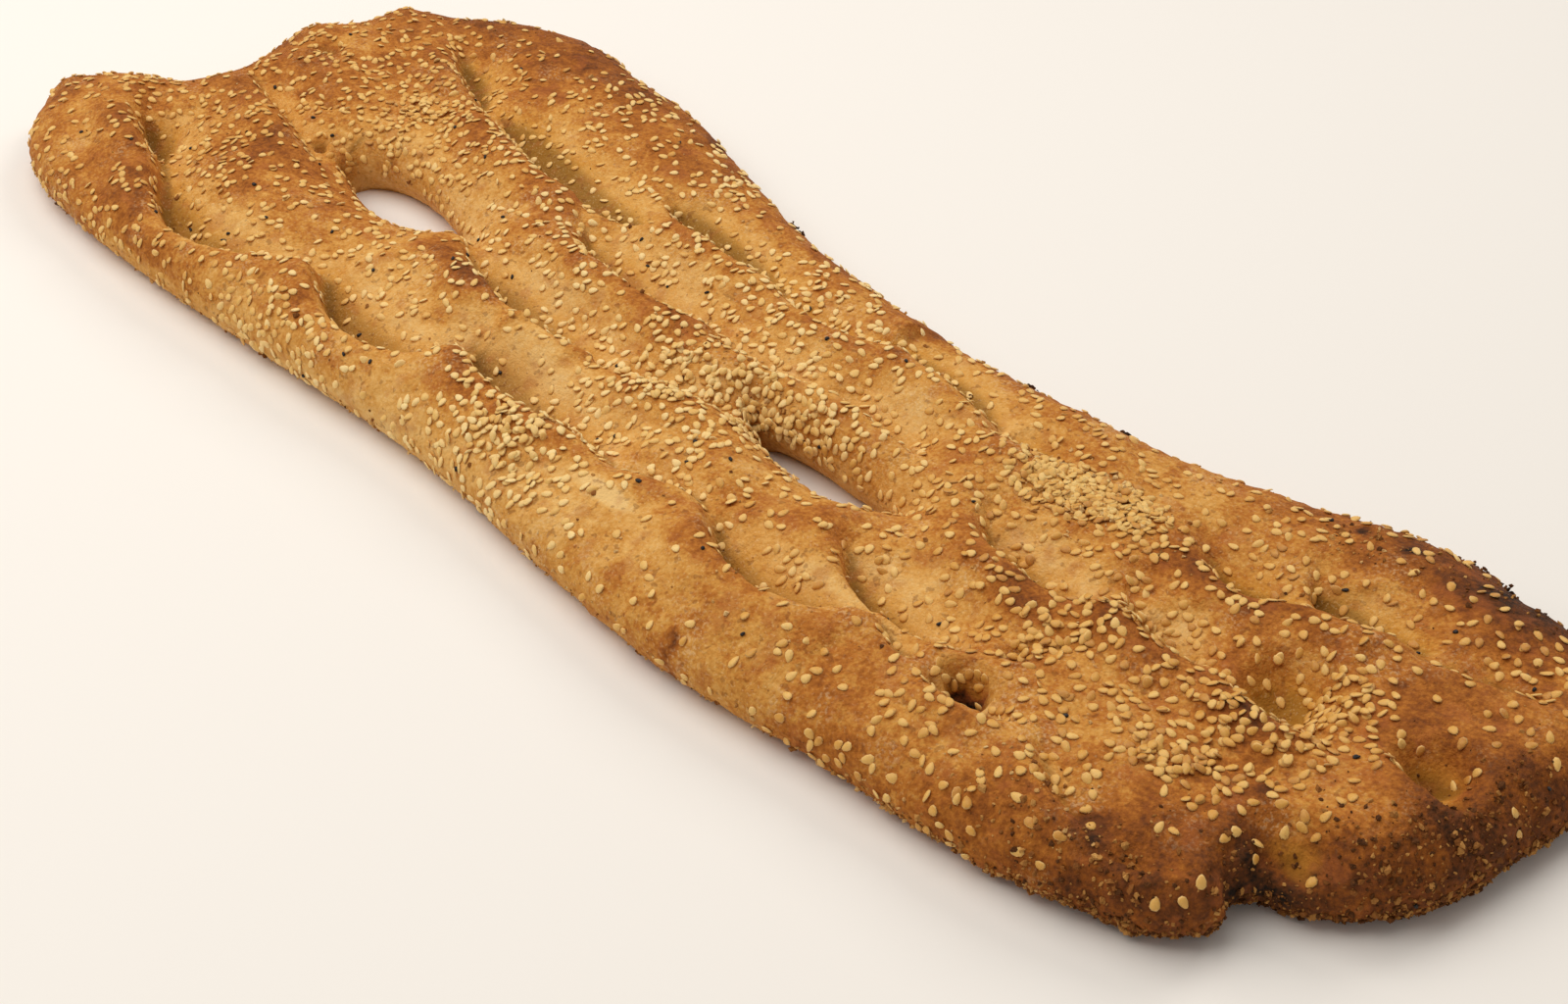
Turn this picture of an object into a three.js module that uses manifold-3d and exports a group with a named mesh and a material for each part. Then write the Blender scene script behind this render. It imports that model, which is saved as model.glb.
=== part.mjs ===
// Barbari bread: a long flat loaf, pressed into ropes by rows of finger furrows, torn right through
// in two places, and strewn with sesame. Millimetres, +Z up, +X towards the browner end.
// The origin is on the underside, below the middle of the loaf.
import * as THREE from "three";
import { mergeVertices } from "three/addons/utils/BufferGeometryUtils.js";
import Module from "manifold-3d";

const wasm = await Module();
wasm.setup();

// Heights of the loaf
const CREST = 24; // top of the dough between furrows
const RIM = 10; // the widest line round the edge and round each tear
const EDGE_ROUND = 28; // how far in from the edge the top is still curving up
const NEAR_ROUND = { radius: 16, from: 200, to: 270 }; // the edge gets steeper towards the near end
const NOTCH = { at: [267, -55], reach: 26, radius: 7 }; // and steepest where a bit broke off
const TEAR_ROUND = 14; // the same round a tear
const TEAR_DIP = { low: 7, high: 2, reach: 30 }; // the dough is thinner where it was pulled apart
const TEAR_TURN = 8; // within this distance of the middle line, the thinning passes from low to high
const SLOW_SWELL = { height: 1.3, along: 47, across: 33, shift: 0.6 }; // rise and fall in long waves
const SLANTED_SWELL = { height: 0.7, along: 19, across: 23 }; // in shorter waves that run aslant
const LUMPS = { height: 0.6, rows: [8.5, 17], files: [-25, 9.5] }; // and in lumps as wide as a finger
const HEEL = 10; // how far in from the edge the underside meets the table
const TEAR_HEEL = 6; // the same from a tear
const BULGE = 0.3; // where the rounding under the rim bends most, as a share of the heel and of the rim

// Edge of the loaf seen from above, in four stretches that join into one smooth closed curve
const LOW_SIDE = [
  [-230, -103.5], [-165, -105], [-85, -101.5], [-15, -98.5], [45, -103], [105, -106], [160, -100],
  [210, -96],
];
const NEAR_END = [
  [239, -88], [255, -81], [262, -71], [259.5, -64], [263, -56], [274, -51], [286, -39], [294, -21.5],
  [296.5, 4], [298.5, 16], [298, 36], [290, 56], [273, 69],
];
const HIGH_SIDE = [
  [252, 72], [233, 76.5], [208, 73.5], [181, 66], [145, 58], [85, 53.5], [35, 57], [-16, 64], [-61, 78.5],
  [-116, 96], [-146, 99], [-180, 105.5], [-214, 101],
];
const FAR_END = [
  [-241, 84], [-263, 68.5], [-265, 46], [-275, 31], [-271, 14.5], [-263, -3], [-262, -25], [-282, -40],
  [-293, -53], [-298.5, -65], [-288, -77], [-266, -94],
];

// The middle line of the loaf, which both tears open along
const MIDLINE = { y: -20, from: -212, to: 222 };
const TEARS = [
  { from: -174, to: -98, low: 10.5, lowLean: 1.25, high: 12.5, highLean: 0.68 },
  { from: 44, to: 110, low: 10, lowLean: 1.1, high: 4.2, highLean: 0.8 },
];
const TEAR_FULLNESS = 0.75; // below 1, a tear is blunter than a sine wave

// Furrows in chains, each furrow from one end to the other past its bend, with slopes to both sides
const CHAINS = [
  // between the low rope and the next
  [
    { from: [-245, -57], bend: [-231, -66], to: [-211, -70], depth: 13, reach: 15 },
    { from: [-199, -76], bend: [-164, -103], to: [-121, -81], depth: 13, reach: 15 },
    { from: [-104, -71], bend: [-73, -94], to: [-40, -77], depth: 13, reach: 16 },
    { from: [-35, -64], bend: [-7, -79], to: [28, -66], depth: 13, reach: 16 },
    { from: [46, -71], bend: [63, -60], to: [91, -69], depth: 5, reach: 10 },
  ],
  // and on to the near end, past a crack
  [
    { from: [81, -63], bend: [103, -88], to: [140, -70], depth: 11, reach: 14 },
    { from: [146, -69], bend: [157, -74], to: [167, -72], depth: 5, reach: 9 },
  ],
  [{ from: [170, -72], bend: [182, -77], to: [195, -69], depth: 13, reach: 7 }],
  [
    { from: [204, -68], bend: [217, -82], to: [237, -79], depth: 4, reach: 10 },
    { from: [237, -81], bend: [245, -81], to: [256, -71], depth: 4, reach: 10 },
  ],
  // from the far end to the far tear
  [{ from: [-246, -13], bend: [-216, -18], to: [-160, -33], depth: 6, reach: 13 }],
  // from the far tear to the near one
  [
    { from: [-84, -29], bend: [-43, -49], to: [-3, -38], depth: 13, reach: 14 },
    { from: [-1, -40], bend: [31, -37], to: [47, -25], depth: 8, reach: 13 },
  ],
  // beside the far tear
  [{ from: [-126, -16], bend: [-100, -24], to: [-72, -24], depth: 6, reach: 10 }],
  // beyond the near tear
  [{ from: [116, -47], bend: [135, -67], to: [173, -55], depth: 10, reach: 14 }],
  [{ from: [134, -12], bend: [156, -32], to: [187, -18], depth: 12, reach: 14 }],
  [{ from: [181, -9], bend: [194, -25], to: [220, -12], depth: 11, reach: 14 }],
  [{ from: [217, -13], bend: [232, -26], to: [250, -15], depth: 12, reach: 12 }],
  [{ from: [266, -9], bend: [277, -19], to: [288, -10], depth: 8, reach: 9 }],
  // beyond the rope above the far tear
  [{ from: [-158, 38], bend: [-108, 11], to: [-48, 21], depth: 12, reach: 16 }],
  [
    { from: [-71, 4], bend: [-32, -12], to: [12, -2], depth: 11, reach: 15 },
    { from: [15, -6], bend: [35, -10], to: [61, -1], depth: 7, reach: 12 },
  ],
  [{ from: [56, 0], bend: [83, 0], to: [101, -3], depth: 8, reach: 12 }],
  // below the high rope
  [
    { from: [-206, 56], bend: [-186, 43], to: [-164, 34], depth: 8, reach: 13 },
    { from: [-165, 32], bend: [-149, 25], to: [-140, 27], depth: 5, reach: 10 },
  ],
  [
    { from: [-63, 41], bend: [-48, 29], to: [6, 29], depth: 10, reach: 14 },
    { from: [11, 25], bend: [40, 19], to: [53, 30], depth: 6, reach: 11 },
    { from: [51, 32], bend: [79, 30], to: [105, 24], depth: 8, reach: 13 },
    { from: [107, 21], bend: [119, 20], to: [137, 24], depth: 6, reach: 12 },
  ],
  [{ from: [181, 23], bend: [200, 10], to: [222, 19], depth: 6, reach: 12 }],
  [
    { from: [210, 33], bend: [220, 17], to: [244, 30], depth: 10, reach: 13 },
    { from: [247, 25], bend: [257, 29], to: [280, 35], depth: 4, reach: 11 },
  ],
];
const FURROW_STEPS = 10; // straight pieces that a furrow's line is measured by
const DEEPER = 1.5; // all furrows are pressed by so much more
const DEEPEST_AT = 0.4; // share of its length at which a furrow is deepest
const FADE = 2.2; // how late it gets shallow after that
const LINKED = { start: 0.55, end: 0.5 }; // share of the depth at an end that joins another furrow
const LOOSE = { start: 0.3, end: 0.1 }; // and at an end that does not
const STEEP_REACH = 0.6; // slope on the right hand of a furrow, as a share of its reach
const GENTLE_REACH = 2.2; // slope on the left hand
const BOWL = { share: 0.4, swell: 0.9 }; // the gentle slope is partly a bowl, else round like a rope
const CREASE = 0.12; // softens the very bottom of a furrow
const BLEND_POWER = 4; // how sharply the slopes of neighbouring furrows meet
const FULL_DEPTH = 12; // from this depth on, ropes are rolled up and lean over to the full
const FULL_REACH = 14; // narrower furrows push up less
const ROLL = { height: 5, at: 0.9, width: 0.8 }; // rope pushed up on the right hand
const LEAN = { share: 0.34, at: 0.7, ends: 3 }; // its crest leans over the furrow
const LEAN_CLEAR = { edge: 18, tear: 12 }; // and stands upright this near the edge or a tear

// Finger pits: oval dents
const PITS = [
  { at: [-226, -62], radii: [13, 8], depth: 8 },
  { at: [-216, -7], radii: [6, 4], depth: 4 },
  { at: [-199, -8], radii: [9, 5], depth: 4 },
  { at: [-184, -22], radii: [6, 5], depth: 9 },
  { at: [-236, 17], radii: [10, 7], depth: 4 },
  { at: [231, -8], radii: [18, 17], depth: 14 },
  { at: [274, -6], radii: [14, 12], depth: 11 },
  { at: [267, -51], radii: [17, 13], depth: 11 },
  { at: [179, -49], radii: [6, 5], depth: 4 },
  { at: [141, -9], radii: [9, 7], depth: 4 },
  { at: [178, -66], radii: [11, 7], depth: 17 },
];

// Sesame: one seed, and where seeds lie thickest
const SEED = { length: 3.4, width: 2.2, thickness: 1.3, lift: 0.15 };
const SEED_COUNT = 80;
const SEED_SPACING = 11;
const SEED_EVEN = 0.25; // chance of a seed away from every patch, against 1 in the middle of one
const SEED_MARGIN = 4; // seeds keep this far from the edge and from the tears
const SEED_PATCHES = [
  { at: [-140, 4], radius: 26 }, { at: [-200, 26], radius: 26 }, { at: [-190, -45], radius: 30 },
  { at: [-118, 76], radius: 24 }, { at: [-108, 20], radius: 22 }, { at: [-40, 36], radius: 22 },
  { at: [-90, -94], radius: 26 }, { at: [-45, -18], radius: 24 }, { at: [25, -35], radius: 28 },
  { at: [15, -80], radius: 26 }, { at: [65, 4], radius: 30 }, { at: [146, 15], radius: 24 },
  { at: [180, -22], radius: 28 }, { at: [222, -38], radius: 30 }, { at: [245, -14], radius: 20 },
  { at: [190, -78], radius: 22 }, { at: [262, 42], radius: 20 },
];

// How finely the loaf is faceted
const STATION_STEP = 10.5; // along the middle line
const TEAR_STEP = 6.2; // along a tear
const END_STEPS = 24; // round each end
const ROWS = 26; // from the edge in to the middle line
const ROW_CROWDING = 0.4; // rows crowd towards both ends, where the crust curves most

const CRUST_COLOUR = 0xb9722f;
const CRUST_ROUGHNESS = 0.7;

// The closed curve of the loaf's edge, counter-clockwise from above
const EDGE_POINTS = [...LOW_SIDE, ...NEAR_END, ...HIGH_SIDE, ...FAR_END];
const EDGE = new THREE.CatmullRomCurve3(
  EDGE_POINTS.map(([x, y]) => new THREE.Vector3(x, y, 0)), true, "catmullrom", 0.5,
);
const EDGE_SAMPLES = 4; // measured points between two given ones
const EDGE_LINE = EDGE.getPoints(EDGE_POINTS.length * EDGE_SAMPLES).map((p) => [p.x, p.y]);
const LOW_SPAN = [0, LOW_SIDE.length / EDGE_POINTS.length];
const HIGH_FROM = LOW_SIDE.length + NEAR_END.length;
const HIGH_SPAN = [HIGH_FROM, HIGH_FROM + HIGH_SIDE.length].map((i) => i / EDGE_POINTS.length);

// Where a side of the edge passes a given x, as the curve's own parameter
function sideParameter([start, end], x) {
  const rising = EDGE.getPoint(end).x > EDGE.getPoint(start).x;
  const halvings = 30;
  let [low, high] = [start, end];
  for (let i = 0; i < halvings; i++) {
    const middle = (low + high) / 2;
    if (EDGE.getPoint(middle).x < x === rising) low = middle;
    else high = middle;
  }
  return low;
}

// Half-widths of the tears at x, below and above the middle line
function tearAt(x) {
  const tear = TEARS.find((t) => x > t.from && x < t.to);
  if (!tear) return { low: 0, high: 0 };
  const along = (x - tear.from) / (tear.to - tear.from);
  const open = (lean) => Math.sin(Math.PI * along ** lean) ** TEAR_FULLNESS;
  return { low: tear.low * open(tear.lowLean), high: tear.high * open(tear.highLean) };
}

// The outline of each tear, for measuring how near a point is to it
const TEAR_SAMPLES = 24;
const TEAR_LINES = TEARS.map(({ from, to }) => {
  const steps = Array.from({ length: TEAR_SAMPLES + 1 }, (_, i) => i / TEAR_SAMPLES);
  const xs = steps.map((share) => THREE.MathUtils.lerp(from, to, share));
  const low = xs.map((x) => [x, MIDLINE.y - tearAt(x).low]);
  const high = xs.map((x) => [x, MIDLINE.y + tearAt(x).high]);
  return [...low, ...high.reverse()];
});

// Distance from a point to a line of straight pieces, how far along the line that is, from 0 to 1,
// and on which hand the point lies, from -1 on the right to 1 on the left
function nearest(line, x, y) {
  let best = { distance: Infinity, along: 0, hand: 0 };
  for (let i = 0; i + 1 < line.length; i++) {
    const [px, py] = [x - line[i][0], y - line[i][1]];
    const [dx, dy] = [line[i + 1][0] - line[i][0], line[i + 1][1] - line[i][1]];
    const length = Math.hypot(dx, dy) || 1;
    const share = THREE.MathUtils.clamp((px * dx + py * dy) / length ** 2, 0, 1);
    const distance = Math.hypot(px - share * dx, py - share * dy);
    if (distance < best.distance) {
      const hand = (dx * py - dy * px) / length / (distance || 1);
      best = { distance, along: (i + share) / (line.length - 1), hand };
    }
  }
  return best;
}

// Share of a furrow's full depth along its line
function taper(along, start, end) {
  const before = Math.min(along / DEEPEST_AT, 1);
  const after = Math.max((along - DEEPEST_AT) / (1 - DEEPEST_AT), 0);
  return start + (1 - start) * (1 - (1 - before) ** 2) - (1 - end) * after ** FADE;
}

// The line of a chain runs through its furrows, which are parabolas that lean towards their bends
const CHAIN_LINES = CHAINS.map((chain) => {
  const places = chain.flatMap(({ from, bend, to, depth, reach }, k) => {
    const { start } = k > 0 ? LINKED : LOOSE;
    const { end } = k < chain.length - 1 ? LINKED : LOOSE;
    const curve = new THREE.QuadraticBezierCurve(...[from, bend, to].map((p) => new THREE.Vector2(...p)));
    return curve.getPoints(FURROW_STEPS).map(({ x, y }, i) => (
      { at: [x, y], depth: depth * taper(i / FURROW_STEPS, start, end), reach }
    ));
  });
  return { line: places.map((place) => place.at), places };
});

// One chain at a point: how far it goes down, with a gentle slope on its left hand and a steep one on the
// right, how far it pushes the dough up into the rope beside its steep slope, and how far that leans over
function chainShape({ line, places }, x, y) {
  const { distance, along, hand } = nearest(line, x, y);
  const index = Math.min(Math.floor(along * (line.length - 1)), line.length - 2);
  const [here, next] = [places[index], places[index + 1]];
  const share = along * (line.length - 1) - index;
  const depth = THREE.MathUtils.lerp(here.depth, next.depth, share);
  const reach = THREE.MathUtils.lerp(here.reach, next.reach, share);
  const gentleness = THREE.MathUtils.smoothstep(hand, -1, 1);
  const width = reach * THREE.MathUtils.lerp(STEEP_REACH, GENTLE_REACH, gentleness);
  const left = 1 - Math.min(Math.hypot(distance / width, CREASE), 1);
  const steep = 1 - Math.sqrt(1 - left ** 2);
  const bowl = left ** 2 * (1 + BOWL.swell * (1 - left));
  const gentle = THREE.MathUtils.lerp(steep, bowl, BOWL.share);
  const strength = Math.min(depth / FULL_DEPTH, 1) * (1 - gentleness);
  const off = (distance / reach - ROLL.at) / ROLL.width;
  const run = distance / (LEAN.at * reach);
  const { smoothstep } = THREE.MathUtils;
  const lean = LEAN.share * reach * strength * smoothstep(run, 0, 1) * (1 - smoothstep(run, 1, LEAN.ends));
  const leftward = new THREE.Vector2(here.at[1] - next.at[1], next.at[0] - here.at[0]).normalize();
  return {
    down: DEEPER * depth * THREE.MathUtils.lerp(steep, gentle, gentleness),
    up: ROLL.height * strength * Math.min(reach / FULL_REACH, 1) * Math.max(1 - off * off, 0) ** 2,
    aside: leftward.multiplyScalar(lean),
  };
}

function pitDepth({ at, radii, depth }, x, y) {
  const away = Math.min(Math.hypot((x - at[0]) / radii[0], (y - at[1]) / radii[1]), 1);
  return depth * (1 - away ** 2) ** 2;
}

// Neighbouring slopes flow together
function flowTogether(sizes) {
  return sizes.reduce((sum, size) => sum + size ** BLEND_POWER, 0) ** (1 / BLEND_POWER);
}

// Rise and fall of the dough along and across the loaf, and smaller lumps
function swell(x, y) {
  const slow = Math.sin(x / SLOW_SWELL.along + SLOW_SWELL.shift) * Math.cos(y / SLOW_SWELL.across);
  const slanted = Math.sin(x / SLANTED_SWELL.along + y / SLANTED_SWELL.across);
  const wave = ([along, across]) => Math.sin(x / along + y / across);
  const lumps = wave(LUMPS.rows) * wave(LUMPS.files);
  return SLOW_SWELL.height * slow + SLANTED_SWELL.height * slanted + LUMPS.height * lumps;
}

// A quarter round: 0 at the edge, 1 once a full radius in
function quarterRound(distance, radius) {
  const left = 1 - Math.min(distance / radius, 1);
  return Math.sqrt(1 - left * left);
}

// The place on the top crust that a point of the flat dough was worked into
const LEAST_TOP = 5; // no furrow floor is lower than this
function crustPoint(x, y) {
  const { lerp, smoothstep } = THREE.MathUtils;
  const shapes = CHAIN_LINES.map((chain) => chainShape(chain, x, y));
  const pits = PITS.map((pit) => pitDepth(pit, x, y));
  const down = flowTogether([...shapes.map((shape) => shape.down), ...pits]);
  const up = flowTogether(shapes.map((shape) => shape.up));
  const gaps = TEAR_LINES.map((line) => nearest(line, x, y).distance);
  const dip = lerp(TEAR_DIP.low, TEAR_DIP.high, smoothstep(y - MIDLINE.y, -TEAR_TURN, TEAR_TURN));
  const thinning = gaps.reduce((sum, gap) => sum + dip * Math.max(1 - gap / TEAR_DIP.reach, 0) ** 2, 0);
  const full = Math.max(CREST + swell(x, y) - down + up - thinning, LEAST_TOP);
  const edgeGap = nearest(EDGE_LINE, x, y).distance;
  const tearGap = Math.min(...gaps);
  const nearness = smoothstep(x, NEAR_ROUND.from, NEAR_ROUND.to);
  const broken = 1 - smoothstep(Math.hypot(x - NOTCH.at[0], y - NOTCH.at[1]), 0, NOTCH.reach);
  const whole = lerp(EDGE_ROUND, NEAR_ROUND.radius, nearness);
  const edgeRise = quarterRound(edgeGap, lerp(whole, NOTCH.radius, broken));
  const rise = Math.min(edgeRise, quarterRound(tearGap, TEAR_ROUND));
  const clear = smoothstep(edgeGap, 0, LEAN_CLEAR.edge) * smoothstep(tearGap, 0, LEAN_CLEAR.tear);
  const place = new THREE.Vector3(x, y, RIM + (full - RIM) * rise);
  shapes.forEach(({ aside }) => place.add(new THREE.Vector3(aside.x * clear, aside.y * clear, 0)));
  return place;
}

// One column of the faceting runs from a point on the edge in to the middle line or to the lip of a tear
function column(edge, inner, endsAtLip) {
  const from = new THREE.Vector2(...edge);
  const to = new THREE.Vector2(...inner);
  const length = from.distanceTo(to);
  const at = (share, z) => new THREE.Vector3(...from.clone().lerp(to, share), z);
  const rows = Array.from({ length: ROWS + 1 }, (_, j) => {
    const turn = (2 * Math.PI * j) / ROWS;
    const { x, y } = at((turn - ROW_CROWDING * Math.sin(turn)) / (2 * Math.PI), 0);
    const onRim = j === 0 || (j === ROWS && endsAtLip);
    return onRim ? new THREE.Vector3(x, y, RIM) : crustPoint(x, y);
  });
  return { rows, bulge: at((BULGE * HEEL) / length, BULGE * RIM), heel: at(HEEL / length, 0) };
}

// Stations along the middle line, with one at each end of each tear
const STATION_XS = [MIDLINE.from];
[...TEARS.flatMap(({ from, to }) => [from, to]), MIDLINE.to].forEach((to, i) => {
  const from = STATION_XS.at(-1);
  const steps = Math.ceil((to - from) / (i % 2 ? TEAR_STEP : STATION_STEP));
  for (let k = 1; k <= steps; k++) STATION_XS.push(THREE.MathUtils.lerp(from, to, k / steps));
});

// Columns along one side, and round one end
function sideColumns(span, lipOffset) {
  return STATION_XS.map((x) => {
    const { y } = EDGE.getPoint(sideParameter(span, x));
    const offset = lipOffset(tearAt(x));
    return column([x, y], [x, MIDLINE.y + offset], offset !== 0);
  });
}
function endColumns(start, end, hubX) {
  return Array.from({ length: END_STEPS - 1 }, (_, m) => {
    const { x, y } = EDGE.getPoint(THREE.MathUtils.lerp(start, end, (m + 1) / END_STEPS) % 1);
    return column([x, y], [hubX, MIDLINE.y], false);
  });
}

// Lips and heels round a tear, in order, clockwise from above
function tearRing({ from, to }, lows, highs) {
  const lip = (side, k) => side[k].rows[ROWS];
  const point = (corner, dx, dy) => {
    const heel = new THREE.Vector3(corner.x + dx, corner.y + dy, 0);
    return { lip: corner, heel };
  };
  const [first, last] = [STATION_XS.indexOf(from), STATION_XS.indexOf(to)];
  const open = Array.from({ length: last - first - 1 }, (_, i) => first + 1 + i);
  const low = open.map((k) => point(lip(lows, k), 0, -TEAR_HEEL));
  const high = open.map((k) => point(lip(highs, k), 0, TEAR_HEEL));
  const ends = [point(lip(lows, first), -TEAR_HEEL, 0), point(lip(lows, last), TEAR_HEEL, 0)];
  return [ends[0], ...high, ends[1], ...low.reverse()];
}

// The whole skin of the loaf, as triangles whose corners are welded afterwards
const WELD = 1e-3;
function loafGeometry() {
  const corners = [];
  const triangle = (...points) => {
    const flat = points.some((p, i) => p.distanceTo(points[(i + 1) % points.length]) < WELD);
    if (!flat) points.forEach((p) => corners.push(...p));
  };
  const quad = (a, b, c, d) => {
    triangle(a, b, c);
    triangle(a, c, d);
  };
  const lows = sideColumns(LOW_SPAN, (tear) => -tear.low);
  const highs = sideColumns(HIGH_SPAN, (tear) => tear.high);
  const nearTurn = [LOW_SPAN, HIGH_SPAN].map((span) => sideParameter(span, MIDLINE.to));
  const farTurn = [sideParameter(HIGH_SPAN, MIDLINE.from), 1 + sideParameter(LOW_SPAN, MIDLINE.from)];
  const ring = [
    ...lows,
    ...endColumns(...nearTurn, MIDLINE.to),
    ...[...highs].reverse(),
    ...endColumns(...farTurn, MIDLINE.from),
  ];
  const tears = TEARS.map((tear) => tearRing(tear, lows, highs));
  ring.forEach((here, i) => {
    const next = ring[(i + 1) % ring.length];
    for (let j = 0; j < ROWS; j++) quad(here.rows[j], next.rows[j], next.rows[j + 1], here.rows[j + 1]);
    quad(here.bulge, next.bulge, next.rows[0], here.rows[0]);
    quad(here.heel, next.heel, next.bulge, here.bulge);
  });
  for (const tear of tears)
    tear.forEach((here, i) => {
      const next = tear[(i + 1) % tear.length];
      quad(here.heel, next.heel, next.lip, here.lip);
    });
  const loops = [ring, ...tears].map((loop) => loop.map((p) => p.heel));
  const plan = loops.map((loop) => loop.map((p) => new THREE.Vector2(p.x, p.y)));
  const sole = loops.flat();
  for (const [a, b, c] of THREE.ShapeUtils.triangulateShape(plan[0], plan.slice(1)))
    triangle(sole[a], sole[c], sole[b]);
  const loose = new THREE.BufferGeometry();
  loose.setAttribute("position", new THREE.Float32BufferAttribute(corners, 3));
  return loose;
}

// A closed geometry as a solid that can be joined with others
function solidOf(geometry) {
  geometry.deleteAttribute("normal");
  geometry.deleteAttribute("uv");
  const welded = mergeVertices(geometry, WELD);
  const mesh = new wasm.Mesh({
    numProp: 3,
    vertProperties: new Float32Array(welded.getAttribute("position").array),
    triVerts: new Uint32Array(welded.index.array),
  });
  return new wasm.Manifold(mesh);
}

// Clear of the edge and of the tears by enough for a seed to lie on crust
function hasCrust(x, y) {
  const lines = [EDGE_LINE, ...TEAR_LINES];
  if (lines.some((line) => nearest(line, x, y).distance < SEED_MARGIN)) return false;
  const within = (line) => line.reduce((odd, [ax, ay], i) => {
    const [bx, by] = line[(i + 1) % line.length];
    const crossed = ay > y !== by > y && x < ax + ((bx - ax) * (y - ay)) / (by - ay);
    return crossed ? !odd : odd;
  }, false);
  return within(EDGE_LINE) && !TEAR_LINES.some(within);
}

// Direction square to the crust
function crustNormal(x, y) {
  const step = 1;
  const across = (dx, dy) => crustPoint(x + dx, y + dy).sub(crustPoint(x - dx, y - dy));
  return across(step, 0).cross(across(0, step)).normalize();
}

// Repeatable draw of numbers from 0 to 1
const DRAW = { start: 20, factor: 1664525, step: 1013904223 };
function seededDraw() {
  let state = DRAW.start;
  return () => {
    state = (Math.imul(state, DRAW.factor) + DRAW.step) >>> 0;
    return state / 2 ** 32;
  };
}

// Seeds lie flat on the crust at any turn, thickest in the patches, and keep their spacing
function seedSolids() {
  const draw = seededDraw();
  const box = new THREE.Box2().setFromPoints(EDGE_LINE.map((p) => new THREE.Vector2(...p)));
  const up = new THREE.Vector3(0, 0, 1);
  const size = new THREE.Vector3(SEED.length, SEED.width, SEED.thickness).divideScalar(2);
  const chosen = [];
  const seeds = [];
  while (seeds.length < SEED_COUNT) {
    const x = THREE.MathUtils.lerp(box.min.x, box.max.x, draw());
    const y = THREE.MathUtils.lerp(box.min.y, box.max.y, draw());
    const yaw = Math.PI * draw();
    const closeness = SEED_PATCHES.map(({ at, radius }) => 1 - Math.hypot(x - at[0], y - at[1]) / radius);
    if (draw() > Math.max(SEED_EVEN, ...closeness) || !hasCrust(x, y)) continue;
    if (chosen.some((p) => Math.hypot(p[0] - x, p[1] - y) < SEED_SPACING)) continue;
    chosen.push([x, y]);
    const normal = crustNormal(x, y);
    const centre = crustPoint(x, y).addScaledVector(normal, SEED.lift);
    const turned = new THREE.Quaternion().setFromUnitVectors(up, normal)
      .multiply(new THREE.Quaternion().setFromAxisAngle(up, yaw));
    const placed = new THREE.Matrix4().compose(centre, turned, size);
    seeds.push(solidOf(new THREE.IcosahedronGeometry(1, 0).applyMatrix4(placed)));
  }
  return seeds;
}

// The bread: the loaf with its seeds baked on, as one solid
function breadGeometry() {
  const joined = wasm.Manifold.union([solidOf(loafGeometry()), ...seedSolids()]);
  const [whole] = joined.decompose().sort((a, b) => b.volume() - a.volume());
  const mesh = whole.getMesh();
  return new THREE.BufferGeometry()
    .setAttribute("position", new THREE.BufferAttribute(mesh.vertProperties, mesh.numProp))
    .setIndex(new THREE.BufferAttribute(mesh.triVerts, 1));
}

const crust = new THREE.MeshStandardMaterial({
  color: CRUST_COLOUR, roughness: CRUST_ROUGHNESS, metalness: 0,
});
const bread = new THREE.Mesh(breadGeometry(), crust);
bread.name = "bread";

const barbari = new THREE.Group();
barbari.add(bread);

export default barbari;
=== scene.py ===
import math

import bpy
import numpy as np
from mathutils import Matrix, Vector


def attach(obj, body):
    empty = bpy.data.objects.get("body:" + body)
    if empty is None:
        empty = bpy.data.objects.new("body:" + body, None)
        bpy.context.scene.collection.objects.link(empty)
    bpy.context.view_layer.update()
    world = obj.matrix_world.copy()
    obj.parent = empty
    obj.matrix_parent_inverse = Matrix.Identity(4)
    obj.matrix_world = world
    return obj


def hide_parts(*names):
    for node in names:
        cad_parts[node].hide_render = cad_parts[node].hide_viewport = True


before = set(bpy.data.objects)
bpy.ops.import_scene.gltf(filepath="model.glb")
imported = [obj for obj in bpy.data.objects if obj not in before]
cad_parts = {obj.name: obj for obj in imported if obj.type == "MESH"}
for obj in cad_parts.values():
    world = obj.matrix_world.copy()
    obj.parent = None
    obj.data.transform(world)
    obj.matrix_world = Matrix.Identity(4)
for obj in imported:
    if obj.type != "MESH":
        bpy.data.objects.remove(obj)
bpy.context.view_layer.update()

# Crust: one long flat loaf of leavened wheat dough, stretched by hand and pressed with the fingertips,
# so that ropes roll up beside the furrows, with two tears right through it. It is brushed with a flour
# glaze and baked on a stone, pale in the furrows, brown on the crests and nearly burnt at one end.
MM = 0.001
CREST = 24.0  # top of the dough between furrows, all in millimetres
RIM = 10.0  # height of the widest line round the edge and round each tear
EDGE_ROUND = 28.0  # how far in from the edge the top still curves up
NEAR_ROUND, NEAR_FROM, NEAR_TO = 16.0, 200.0, 270.0  # the edge gets steeper towards the near end
NOTCH_AT, NOTCH_REACH, NOTCH_ROUND = (267, -55), 26.0, 7.0  # and steepest where a bit broke off
TEAR_ROUND = 14.0
TEAR_DIP_LOW, TEAR_DIP_HIGH, TEAR_DIP_REACH = 7.0, 2.0, 30.0  # thinner where it was pulled apart
DIP_CHANGE = 8.0  # the dip changes from low to high side within this of the middle line
HEEL, TEAR_HEEL = 10.0, 6.0  # how far in from the edge and from a tear the underside meets the ground
HEEL_BULGE = 0.25  # share by which the flank stands out over its heel
FULL_UNDERCUT = 5.0  # a tear open this wide has its whole heel
LEAST_TOP = 5.0  # no furrow floor is lower than this
LOW_SIDE = [
    (-230, -103.5), (-165, -105), (-85, -101.5), (-15, -98.5), (45, -103), (105, -106), (160, -100),
    (210, -96),
]
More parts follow.
